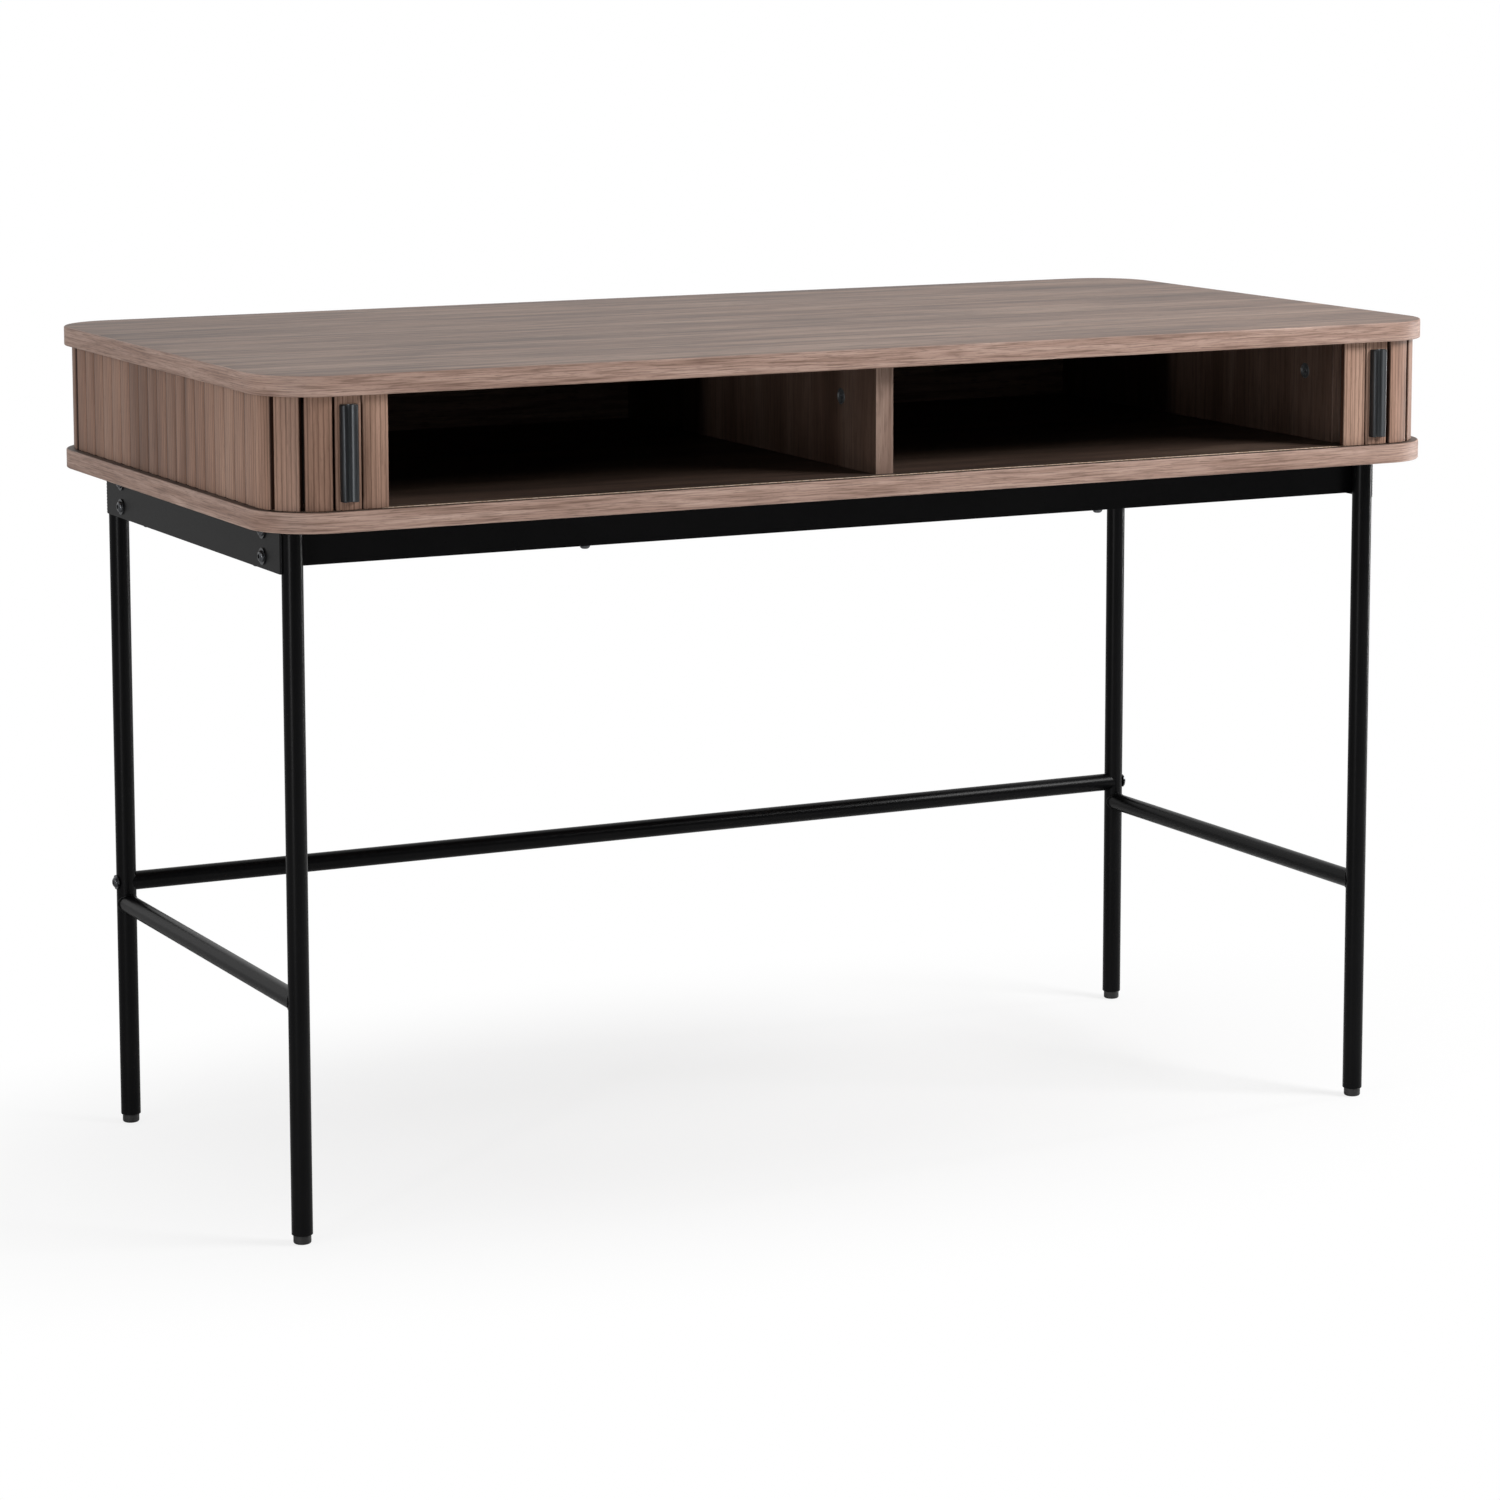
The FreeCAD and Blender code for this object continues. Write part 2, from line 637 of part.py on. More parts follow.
# Stretchers: the side ones are welded between the legs, the back one is bolted through them
stretcher_bore = cell("stretcher_diameter") - cell("stretcher_wall") * 2
for side, hand in ((-1, "left"), (1, "right")):
    start = (side * leg_x, -leg_y, cell("side_stretcher_height"))
    outer = rod(hand + "_stretcher_outer", "y", start, leg_y * 2, cell("stretcher_diameter"))
    bore = rod(hand + "_stretcher_bore", "y", start, leg_y * 2, stretcher_bore)
    copes = group(hand + "_stretcher_copes", [bore, leg_tubes["front_" + hand], leg_tubes["rear_" + hand]])
    keep(cut(hand + "_stretcher", outer, copes), hand + "_side_stretcher")
start = (-leg_x, leg_y, cell("back_stretcher_height"))
outer = rod("back_stretcher_outer", "x", start, leg_x * 2, cell("stretcher_diameter"))
bore = rod("back_stretcher_bore", "x", start, leg_x * 2, stretcher_bore)
back_copes = group("back_stretcher_copes", [bore, leg_tubes["rear_left"], leg_tubes["rear_right"]])
keep(cut("back_stretcher_tube", outer, back_copes), "back_stretcher")
plugs = []
for side, hand in ((-1, "left"), (1, "right")):
    plug_length = leg_radius + cell("plug_length")
    plug_x = -leg_x if side < 0 else leg_x - plug_length
    plug_start = (plug_x, leg_y, cell("back_stretcher_height"))
    plug_size = stretcher_bore - cell("fit_gap") * 2
    blank = rod(hand + "_plug_blank", "x", plug_start, plug_length, plug_size)
    tools = group(hand + "_plug_tools", [leg_tubes["rear_" + hand], stretcher_bolt_holes[hand]])
    plugs.append(cut(hand + "_plug", blank, tools))
keep(group("all_plugs", plugs), "stretcher_plugs")
keep(group("all_stretcher_bolts", stretcher_bolts), "stretcher_bolts")

# One tambour slat: chamfered outer arrises, and a narrow tongue at each end for the groove
slat_height = cell("cavity_height") - cell("slat_end_clearance") * 2
slat_width = cell("slat_pitch") - cell("slat_gap")
slat_body = doc.addObject("PartDesign::Body", "slat_pattern")
half_thickness = cell("slat_thickness") / 2
slat_sketch = centred_rectangle(slat_body, "slat_sketch", slat_width, cell("slat_thickness"), -half_thickness)
slat_pad = pad(slat_body, "slat_pad", slat_sketch, slat_height, both_ways=True)


def outer_upright(ends):
    return upright(ends) and max(point.y for point in ends) < -size("slat_thickness") / 2


dress(
    slat_body, "Chamfer", "slat_arris", slat_pad, edge_names(slat_pad, outer_upright), "Size", cell("slat_chamfer")
)
tongue_sketch = centred_rectangle(
    slat_body, "tongue_sketch", cell("tongue_width"), cell("tongue_thickness"), -half_thickness
)
pad(slat_body, "tongue_pad", tongue_sketch, slat_height + cell("tongue_length") * 2, both_ways=True)
doc.recompute()

# The tambour's run, measured along the backs of the slats from the leading edge of a door
pitch = size("slat_pitch")
lead_count = int(size("lead_slats"))
corner_radius = size("corner_radius")
back_offset = size("slat_inset") + size("slat_thickness")
back_radius = corner_radius - back_offset
front_run = lead_count * pitch
corner_run = back_radius * math.pi / 2
side_run = size("depth") - 2 * corner_radius
corner_x = size("width") / 2 - corner_radius
corner_y = size("depth") / 2 - corner_radius
front_end = front_run
side_start = front_end + corner_run
side_end = side_start + side_run
rear_start = side_end + corner_run
slat_middle_z = size("height") - size("board_thickness") - size("cavity_height") / 2


def run_point(distance, side, inset=0.0):
    """The point of the run at a distance from the leading edge, moved in by an inset, and its outward angle."""
    radius = back_radius - inset
    if distance <= front_end:
        x, y, outward = corner_x - (front_end - distance), -corner_y - radius, 270.0
    elif distance <= side_start:
        outward = 270.0 - math.degrees((distance - front_end) / back_radius)
        x = corner_x - radius * math.cos(math.radians(outward))
        y = -corner_y + radius * math.sin(math.radians(outward))
    elif distance <= side_end:
        x, y, outward = corner_x + radius, -corner_y + distance - side_start, 180.0
    elif distance <= rear_start:
        outward = 180.0 - math.degrees((distance - side_end) / back_radius)
        x = corner_x - radius * math.cos(math.radians(outward))
        y = corner_y + radius * math.sin(math.radians(outward))
    else:
        x, y, outward = corner_x - (distance - rear_start), corner_y + radius, 90.0
    if side < 0:
        return FreeCAD.Vector(-x, y, 0), outward
    return FreeCAD.Vector(x, y, 0), 180.0 - outward


def slat_at(number, side):
    point, outward = run_point((number + 0.5) * pitch, side)
    point.z = slat_middle_z
    turn = FreeCAD.Rotation(FreeCAD.Vector(0, 0, 1), outward - 270.0)
    slat = slat_body.Shape.copy()
    slat.Placement = FreeCAD.Placement(point, turn)
    return slat


def slat_group(label, numbers, side):
    """A node of separate slats, each at its place on the run."""
    feature = doc.addObject("Part::Feature", label)
    feature.Shape = Part.Compound([slat_at(number, side) for number in numbers])
    return keep(feature, label)


def arc_through(side, inset, start, end):
    points = [run_point(distance, side, inset)[0] for distance in (start, (start + end) / 2, end)]
    return Part.Arc(*points).toShape()


def line_between(side, inset, start, end):
    return Part.LineSegment(run_point(start, side, inset)[0], run_point(end, side, inset)[0]).toShape()


def canvas_band(label, side, start, end):
    """The cloth behind the slats: a thin upright band along a stretch of the run."""
    outer = size("glue_line")
    inner = outer + size("canvas_thickness")
    edges = {}
    for inset in (outer, inner):
        pieces = []
        if start < front_end:
            pieces.append(line_between(side, inset, start, min(end, front_end)))
        if end > front_end:
            pieces.append(arc_through(side, inset, max(start, front_end), side_start))
            pieces.append(line_between(side, inset, side_start, side_end))
            pieces.append(arc_through(side, inset, side_end, rear_start))
            pieces.append(line_between(side, inset, rear_start, end))
        edges[inset] = pieces
    caps = []
    for distance in (start, end):
        ends = [run_point(distance, side, inset)[0] for inset in (outer, inner)]
        caps.append(Part.LineSegment(*ends).toShape())
    loop = Part.Wire(Part.__sortEdges__(edges[outer] + edges[inner] + caps))
    height = size("cavity_height") - 2 * size("slat_end_clearance") - 2 * size("canvas_margin")
    band = Part.Face(loop).extrude(FreeCAD.Vector(0, 0, height))
    band.translate(FreeCAD.Vector(0, 0, slat_middle_z - height / 2))
    feature = doc.addObject("Part::Feature", label)
    feature.Shape = band
    return keep(feature, label)


slat_total = 0
while (slat_total + 0.5) * pitch < rear_start:
    slat_total += 1
numbers_by_stretch = {"corner": [], "side": [], "rear_corner": []}
for number in range(lead_count, slat_total):
    middle = (number + 0.5) * pitch
    stretch = "corner" if middle < side_start else "side" if middle < side_end else "rear_corner"
    numbers_by_stretch[stretch].append(number)
whole_count = int((rear_start + corner_x - size("tail_clearance")) / pitch)
numbers_by_stretch["rear"] = list(range(slat_total, whole_count))
run_length = whole_count * pitch

# Both doors: two leading slats on the straight front, a pull, and the rest of the curtain behind them
slat_outer_y = half_depth - cell("slat_inset")
slat_inner_y = slat_outer_y - cell("slat_thickness")
cavity_middle = shelf + cell("cavity_height") / 2
pull_slat_middle = half_width - cell("corner_radius") - cell("slat_pitch") / 2
for side, hand in ((-1, "left"), (1, "right")):
    pull_x = side * pull_slat_middle
    half_pull = cell("pull_width") / 2
    pull_z = (cavity_middle - cell("pull_length") / 2, cavity_middle + cell("pull_length") / 2)
    pull_front_y = -slat_outer_y - cell("pull_depth")
    bar_x = (pull_x - half_pull, pull_x + half_pull)
    bar = block(hand + "_pull_bar", bar_x, (pull_front_y, -slat_outer_y), pull_z)
    trough_x = (bar_x[0] + cell("pull_wall"), bar_x[1] - cell("pull_wall"))
    trough = block(hand + "_pull_trough", trough_x, (pull_front_y, -slat_outer_y - cell("pull_wall")), pull_z)
    screw_holes = []
    pull_screws = []
    for level, z in (
        ("low", pull_z[0] + cell("pull_screw_inset")),
        ("high", pull_z[1] - cell("pull_screw_inset")),
    ):
        tag = f"{hand}_pull_{level}"
        head_height = cell("pull_screw_head_height")
        shank_length = cell("slat_thickness") + cell("pull_wall")
        shank_start = (pull_x, -slat_outer_y - cell("pull_wall"), z)
        shank = rod(tag + "_shank", "y", shank_start, shank_length, cell("pull_screw_diameter"))
        head = rod(tag + "_head", "y", (pull_x, -slat_inner_y, z), head_height, cell("pull_screw_head"))
        pull_screws.append(join(tag + "_screw", [shank, head]))
        hole_size = cell("pull_screw_diameter") + clearance * 2
        hole_start = (pull_x, -slat_outer_y - cell("pull_wall") - clearance, z)
        screw_holes.append(rod(tag + "_hole", "y", hole_start, shank_length + clearance * 2, hole_size))
        head_hole_size = cell("pull_screw_head") + clearance * 2
        head_hole = rod(tag + "_head_hole", "y", (pull_x, -slat_inner_y, z), head_height, head_hole_size)
        screw_holes.append(head_hole)
    pull_tools = group(hand + "_pull_tools", [trough] + screw_holes)
    keep(cut(hand + "_pull_formed", bar, pull_tools), hand + "_pull")
    keep(group(hand + "_pull_screw_pair", pull_screws), hand + "_pull_screws")
    doc.recompute()
    hole_shape = Part.Compound([hole.Shape for hole in screw_holes])
    slat_group(hand + "_lead_slat", range(lead_count - 1), side)
    pull_slat = doc.addObject("Part::Feature", hand + "_pull_slat")
    pull_slat.Shape = slat_at(lead_count - 1, side).cut(hole_shape)
    keep(pull_slat, hand + "_pull_slat")
    lead_canvas = canvas_band(hand + "_lead_canvas", side, size("slat_gap") / 2, front_end - size("slat_gap") / 2)
    lead_canvas.Shape = lead_canvas.Shape.cut(hole_shape)
    for stretch, numbers in numbers_by_stretch.items():
        slat_group(f"{hand}_{stretch}_slats", numbers, side)
    canvas_band(hand + "_canvas", side, front_end + size("slat_gap") / 2, run_length)

# Checks, then one file for each node
doc.recompute()
for item in doc.Objects:
    if "Invalid" in item.State or "Error" in item.State:
        raise RuntimeError(f"{item.Name} ({item.Label}) failed: {item.State}")
os.makedirs("parts", exist_ok=True)
for node in nodes:
    shape = node.Shape
    if shape.isNull() or not shape.isValid() or not shape.Solids:
        raise RuntimeError(f"{node.Label} has no valid solid")
    shape.exportStep(f"parts/{node.Label}.step")
    print(node.Label, len(shape.Solids), "solids,", round(shape.Volume), "mm3")
print(len(nodes), "nodes, slats in each curtain:", whole_count)
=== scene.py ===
import math

import bpy
import numpy as np
from mathutils import Matrix, Vector


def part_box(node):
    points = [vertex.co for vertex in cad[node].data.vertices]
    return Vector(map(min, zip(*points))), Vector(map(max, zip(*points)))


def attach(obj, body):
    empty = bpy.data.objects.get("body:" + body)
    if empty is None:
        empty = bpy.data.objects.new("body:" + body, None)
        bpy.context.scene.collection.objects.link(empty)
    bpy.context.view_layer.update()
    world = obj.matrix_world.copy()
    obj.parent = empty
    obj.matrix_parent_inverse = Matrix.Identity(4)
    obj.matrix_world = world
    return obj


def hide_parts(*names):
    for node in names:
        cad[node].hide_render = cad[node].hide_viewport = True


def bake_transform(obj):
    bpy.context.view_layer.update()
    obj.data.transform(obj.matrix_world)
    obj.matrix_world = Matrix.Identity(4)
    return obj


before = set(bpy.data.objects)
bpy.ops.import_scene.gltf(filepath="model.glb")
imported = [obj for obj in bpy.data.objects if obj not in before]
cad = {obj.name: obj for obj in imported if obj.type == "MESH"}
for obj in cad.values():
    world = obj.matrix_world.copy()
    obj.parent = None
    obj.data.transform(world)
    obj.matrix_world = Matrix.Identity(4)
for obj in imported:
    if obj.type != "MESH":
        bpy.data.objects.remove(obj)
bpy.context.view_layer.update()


# Top and bottom boards of the case
# Particle board wrapped in matt walnut foil, with a foil band pressed round the edge and its rounded corners.
# A groove milled all round the inner face of each board guides the tambour doors and shows the raw board.
MM = 0.001
BOARD_CORNER = 60 * MM
BOARD_ARRIS = 1.2 * MM
BAND_REACH = 0.9 * BOARD_ARRIS
GROOVE_NEAR = 8.5 * MM
GROOVE_FAR = 13.5 * MM
GROOVE_DEPTH = 5 * MM
CAP_INSET = 20 * MM
CORNER_POINTS = 28
ARRIS_POINTS = 6
board_low, board_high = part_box("top_board")
HALF_WIDTH = board_high.x
HALF_DEPTH = board_high.y
scene = bpy.context.scene


def linear(hex_colour):
    """An sRGB hex colour as linear red, green, blue and alpha 1."""
    srgb = np.array([int(hex_colour[i : i + 2], 16) for i in (1, 3, 5)]) / 255
    low = srgb / 12.92
    high = ((srgb + 0.055) / 1.055) ** 2.4
    return (*np.where(srgb <= 0.04045, low, high), 1.0)


def node(tree, kind, inputs=None, stops=(), **settings):
    """Adds a shader node, sets its properties and its colour stops, each (place, hex colour), and fills or
    links its inputs."""
    made = tree.nodes.new("ShaderNode" + kind)
    for name, value in settings.items():
        setattr(made, name, value)
    for number, (place, colour) in enumerate(stops):
        shades = made.color_ramp.elements
        shade = shades[number] if number < len(shades) else shades.new(place)
        shade.position = place
        shade.color = linear(colour)
    for name, value in (inputs or {}).items():
        if isinstance(value, bpy.types.NodeSocket):
            tree.links.new(value, made.inputs[name])
        else:
            made.inputs[name].default_value = value
    return made


def new_material(name):
    """A material, its node tree and its Principled shader."""
    material = bpy.data.materials.new(name)
    material.use_nodes = True
    tree = material.node_tree
    return material, tree, tree.nodes["Principled BSDF"]


def per_metre(*spacings_mm):
    """Pattern scale for a feature size in millimetres along each axis."""
    return tuple(1000 / spacing for spacing in spacings_mm)


# The foil is printed with long soft streaks, a finer figure, and short dark pores pressed in along the grain.
# That gives the eye a calm greyish brown with darker bands, and a dull sheen broken by the pores.
# Slats also carry a tone of their own and fine upright lines a few millimetres apart.
# Their sides and eased arrises are darkened as painted shade in the gaps between them.
# Inside the case a painted shade darkens the foil, except on faces that look to the front.
FOIL_REFLECTION = 0.3
FOIL_ROUGHNESS = {"To Min": 0.46, "To Max": 0.62}
FOIL_RELIEF = {"Strength": 0.3, "Distance": 0.2 * MM}
NOISE_ROUGHNESS = 0.55
STREAK_NOISE = {"Detail": 5.0, "Distortion": 0.5}
FIGURE_NOISE = {"Detail": 4.0, "Distortion": 0.3}
PORE_NOISE = {"Detail": 2.0, "Distortion": 0.0}
FIGURE_SHARE = 0.85
PORE_RANGE = {"From Min": 0.56, "From Max": 0.68}
PORE_SHARE = 0.6
RIB_SHARE = 0.6
# distance from the middle of a slat's front face where the painted shade in the gaps begins and is full
GAP_SHADE_START = 11.1 * MM
GAP_SHADE_FULL = 12.9 * MM
FRONT_EDGE_RANGE = {"From Min": -0.9, "From Max": -0.5}
TINT = {"data_type": "RGBA", "blend_type": "MULTIPLY"}


def walnut_foil(
    name, shades, streak_mm, figure_mm, pore_mm, source="Object", boldness=1.0, rib_mm=None, inside=None
):
    """Foil from its dark, middle, light and pore shades and from the size of streaks, figure and pores along
    x, y and z. Slats also give the spacing of their lines, and boards inside the case the colour of their
    painted shade."""
    material, tree, shader = new_material(name)
    dark, middle, light, pore = shades
    place = node(tree, "TexCoord").outputs[source]
    printed = []
    for spacing_mm, noise in ((streak_mm, STREAK_NOISE), (figure_mm, FIGURE_NOISE), (pore_mm, PORE_NOISE)):
        drawn_out = node(tree, "Mapping", {"Vector": place, "Scale": per_metre(*spacing_mm)}).outputs[0]
        noise_inputs = {"Vector": drawn_out, "Scale": 1.0, "Roughness": NOISE_ROUGHNESS, **noise}
        printed.append(node(tree, "TexNoise", noise_inputs).outputs["Fac"])
    streaks, figure, pores = printed
    ground = node(tree, "ValToRGB", {"Fac": streaks}, [(0.32, dark), (0.5, middle), (0.68, light)])
    lines = node(tree, "ValToRGB", {"Fac": figure}, [(0.34, "#9c8f88"), (0.56, "#ffffff")])
    figure_inputs = {"Factor": FIGURE_SHARE * boldness, 6: ground.outputs[0], 7: lines.outputs[0]}
    figured = node(tree, "Mix", figure_inputs, **TINT).outputs[2]
    pore_inputs = {"Value": pores, "To Max": PORE_SHARE * boldness, **PORE_RANGE}
    pore_share = node(tree, "MapRange", pore_inputs).outputs[0]
    pored_inputs = {"Factor": pore_share, 6: figured, 7: linear(pore)}
    colour = node(tree, "Mix", pored_inputs, data_type="RGBA").outputs[2]
    if rib_mm:
        own = node(tree, "Attribute", attribute_name="tone").outputs["Fac"]
        own_stops = [(0.0, "#a39b97"), (0.5, "#e4dcd8"), (1.0, "#ffffff")]
        own_tint = node(tree, "ValToRGB", {"Fac": own}, own_stops).outputs[0]
        colour = node(tree, "Mix", {"Factor": 1.0, 6: colour, 7: own_tint}, **TINT).outputs[2]
        strip = node(tree, "TexCoord").outputs["UV"]
        # a band texture repeats every 2 pi / 20 of its scaled coordinate
        rib_inputs = {"Vector": strip, "Scale": 0.1 * np.pi / (rib_mm * MM), "Distortion": 0.6, "Detail": 2.0}
        ribs = node(tree, "TexWave", rib_inputs, bands_direction="X").outputs["Fac"]
        rib_tint = node(tree, "ValToRGB", {"Fac": ribs}, [(0.0, "#8f827a"), (0.22, "#ffffff")]).outputs[0]
        colour = node(tree, "Mix", {"Factor": RIB_SHARE, 6: colour, 7: rib_tint}, **TINT).outputs[2]
        # painted shade in the gaps: sides and eased arrises, off the middle of the front face, are darkened
        across = node(tree, "SeparateXYZ", {0: strip}).outputs["X"]
        off_middle = node(tree, "Math", {0: across}, operation="ABSOLUTE").outputs[0]
        gap_shade_inputs = {"Value": off_middle, "From Min": GAP_SHADE_START, "From Max": GAP_SHADE_FULL}
        gap_shade = node(tree, "MapRange", gap_shade_inputs).outputs[0]
        colour = node(tree, "Mix", {"Factor": gap_shade, 6: colour, 7: linear("#685448")}, **TINT).outputs[2]
    # painted shade inside the case: faces that don't look to the front are multiplied by the inside colour
    if inside:
        facing = node(tree, "NewGeometry").outputs["True Normal"]
        forward = node(tree, "SeparateXYZ", {0: facing}).outputs["Y"]
        inner_shade_share = node(tree, "MapRange", {"Value": forward, **FRONT_EDGE_RANGE}).outputs[0]
        colour = node(tree, "Mix", {"Factor": inner_shade_share, 6: colour, 7: linear(inside)}, **TINT).outputs[2]
    tree.links.new(colour, shader.inputs["Base Color"])
    dull = node(tree, "MapRange", {"Value": figure, **FOIL_ROUGHNESS})
    tree.links.new(dull.outputs[0], shader.inputs["Roughness"])
    shader.inputs["Specular IOR Level"].default_value = FOIL_REFLECTION
    relief = node(tree, "Math", {0: figure, 1: pore_share}, operation="SUBTRACT")
    bump = node(tree, "Bump", {"Height": relief.outputs[0], **FOIL_RELIEF})
    tree.links.new(bump.outputs[0], shader.inputs["Normal"])
    return material


FACE_SHADES = ("#67544a", "#826b5e", "#947e70", "#453730")
BOARD_GRAIN = ((460, 45, 45), (130, 7, 7), (20, 1.6, 1.6))
face_foil = walnut_foil("walnut foil, flat face", FACE_SHADES, *BOARD_GRAIN)
# the same foil with a painted shade, for the inner faces of the boards and for the back panel
inner_shaded_foil = walnut_foil("walnut foil, inside face, painted shade", FACE_SHADES, *BOARD_GRAIN, inside="#9c9894")
BAND_SHADES = ("#8a6f62", "#9e8376", "#ae9487", "#5f4b41")
BAND_GRAIN = ((150, 6, 6), (42, 1.4, 1.4), (12, 0.9, 0.9))
band_foil = walnut_foil("walnut foil, edge band", BAND_SHADES, *BAND_GRAIN, "UV", boldness=0.8)
# Bare particle board shows pale pressed chips with no sheen.
CHIP_MM = 2.5
raw_board, tree, shader = new_material("raw particle board")
shader.inputs["Roughness"].default_value = 0.85
chip_inputs = {"Vector": node(tree, "TexCoord").outputs["Object"], "Scale": 1000 / CHIP_MM}
chips = node(tree, "TexVoronoi", chip_inputs)
raw_shades = node(tree, "ValToRGB", {"Fac": chips.outputs["Distance"]}, [(0.1, "#a88f78"), (0.7, "#d9c6b2")])
tree.links.new(raw_shades.outputs[0], shader.inputs["Base Color"])


def lofted(name, sections, materials, slots=None, around=None, along=None, tone=None, sharp=35, loop=False):
    """Closed skins through rings of points. sections is (copies, rings, points, 3): quads join each ring to
    the next, and flat caps close the first and last rings unless the rings run in a loop. around and along
    are UV lengths in metres, round the ring (one more value than points) and from ring to ring. slots gives
    the material of each band between rings, and of the two caps."""
    copies, rings, points, _ = sections.shape
    ring = np.arange(rings if loop else rings - 1)[:, None]
    here = np.arange(points)[None, :]
    corners = [(ring, here), (ring, here + 1), (ring + 1, here + 1), (ring + 1, here)]
    quads = np.stack([(row % rings) * points + column % points for row, column in corners], -1).reshape(-1, 4)
    start = np.arange(copies)[:, None, None] * rings * points
    faces = (quads[None] + start).reshape(-1, 4).tolist()
    if not loop:
        caps = np.stack([np.arange(points)[::-1], (rings - 1) * points + np.arange(points)])
        faces += (caps[None] + start).reshape(-1, points).tolist()
    mesh = bpy.data.meshes.new(name)
    mesh.from_pydata(sections.reshape(-1, 3).tolist(), [], faces)
    if around is not None:
        u = np.stack([around[:-1], around[1:], around[1:], around[:-1]], -1)[None].repeat(rings - 1, 0)
        v = np.stack([along[:-1], along[:-1], along[1:], along[1:]], -1)[:, None].repeat(points, 1)
        wall = np.tile(np.stack([u, v], -1).reshape(-1, 2), (copies, 1))
        coordinates = np.zeros((len(mesh.loops), 2))
        coordinates[: len(wall)] = wall
        mesh.uv_layers.new(name="strip").data.foreach_set("uv", coordinates.ravel())
    if slots is not None:
        walls, ends = slots
        each_face = np.concatenate([np.tile(np.repeat(walls, points), copies), np.tile(ends, copies)])
        mesh.polygons.foreach_set("material_index", each_face)
    if tone is not None:
        values = np.repeat(tone, rings * points).astype(np.float32)
        mesh.attributes.new("tone", "FLOAT", "POINT").data.foreach_set("value", values)
    for material in materials:
        mesh.materials.append(material)
    mesh.polygons.foreach_set("use_smooth", np.ones(len(mesh.polygons), bool))
    mesh.set_sharp_from_angle(angle=math.radians(sharp))
    mesh.update()
    piece = bpy.data.objects.new(name, mesh)
    scene.collection.objects.link(piece)
    return piece


def lengths(points):
    """Running length along a line of points."""
    return np.concatenate([[0], np.linalg.norm(np.diff(points, axis=0), axis=1).cumsum()])


def stand_for(piece, body, slot, *replaced):
    """Puts a piece on a body and has it replace CAD nodes, which it hides. The slot is not used."""
    if replaced:
        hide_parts(*replaced)
    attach(piece, body)


def board_outline(inset):
    """The boards' outline moved in by an inset: a rectangle whose corners are arcs of the corner radius less
    the inset, as points going clockwise from above."""
    turn = np.linspace(0, np.pi / 2, CORNER_POINTS)
    angle = turn[None] + np.arange(4)[:, None] * np.pi / 2
    sign_x = np.array([1, -1, -1, 1])[:, None]
    sign_y = np.array([1, 1, -1, -1])[:, None]
    x = sign_x * (HALF_WIDTH - BOARD_CORNER) + (BOARD_CORNER - inset) * np.cos(angle)
    y = sign_y * (HALF_DEPTH - BOARD_CORNER) + (BOARD_CORNER - inset) * np.sin(angle)
    return np.stack([x.ravel(), y.ravel()], -1)[::-1]


BOARD_FOILS = [face_foil, band_foil, raw_board, inner_shaded_foil]
FACE, BAND, RAW, INNER = range(len(BOARD_FOILS))


def case_board(name, replaced, outer_z, inner_z):
    """One board: its outline carried through a section of (inset, height) steps, from the outer face over the
    edge and into the groove on the inner face. The steps always run downwards, so that faces look outward."""
    side = np.sign(inner_z - outer_z)
    bend = np.linspace(0, np.pi / 2, ARRIS_POINTS)
    leaving = BOARD_ARRIS * (1 - np.sin(bend))
    falling = BOARD_ARRIS * (1 - np.cos(bend))
    over = np.stack([leaving, outer_z + side * falling], -1)
    under = np.stack([falling, inner_z - side * leaving], -1)
    groove_z = inner_z - side * GROOVE_DEPTH
    groove = [(GROOVE_NEAR, inner_z), (GROOVE_NEAR, groove_z), (GROOVE_FAR, groove_z), (GROOVE_FAR, inner_z)]
    section = np.concatenate([[(CAP_INSET, outer_z)], over, under, groove, [(CAP_INSET, inner_z)]])
    if side > 0:
        section = section[::-1]
    outlines = [np.insert(board_outline(inset), 2, z, axis=1) for inset, z in section]
    edge = board_outline(0)
    inset, height = ((section[:-1] + section[1:]) / 2).T
    in_groove = (inset >= GROOVE_NEAR) & (inset <= GROOVE_FAR) & (np.abs(height - outer_z) > GROOVE_DEPTH)
    slots = np.where(np.abs(height - inner_z) < BOARD_ARRIS / 2, INNER, FACE)
    slots = np.where(in_groove, RAW, np.where(inset < BAND_REACH, BAND, slots))
    caps = (FACE, INNER) if side < 0 else (INNER, FACE)
    around = lengths(np.concatenate([edge, edge[:1]]))
    board = lofted(name, np.array(outlines)[None], BOARD_FOILS, (slots, caps), around, lengths(section))
    stand_for(board, "desk", "walnut_board", replaced)


case_board("top_board_foiled", "top_board", board_high.z, board_low.z)
shelf_low, shelf_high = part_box("bottom_board")
case_board("bottom_board_foiled", "bottom_board", shelf_low.z, shelf_high.z)


# Uprights and back of the compartments
# Foil-covered boards with banded front edges, held by cam fittings above and screws below.
# The grain stands upright in the uprights and runs along the desk in the back panels.
UPRIGHT_SHADES = ("#725a4e", "#8c7467", "#9d877b", "#4d3b32")
UPRIGHT_GRAIN = ((34, 34, 400), (3, 3, 80), (1.2, 1.2, 16))
# the uprights' faces inside the case, but not their banded front edges, are darkened by a painted shade
upright_foil = walnut_foil(
    "walnut foil, upright grain", UPRIGHT_SHADES, *UPRIGHT_GRAIN, boldness=0.7, inside="#a39d99"
)
PANEL_FOILS = dict.fromkeys(("left_inner_panel", "center_divider", "right_inner_panel"), upright_foil)
PANEL_FOILS.update(back_panel=inner_shaded_foil, rear_panel=face_foil)


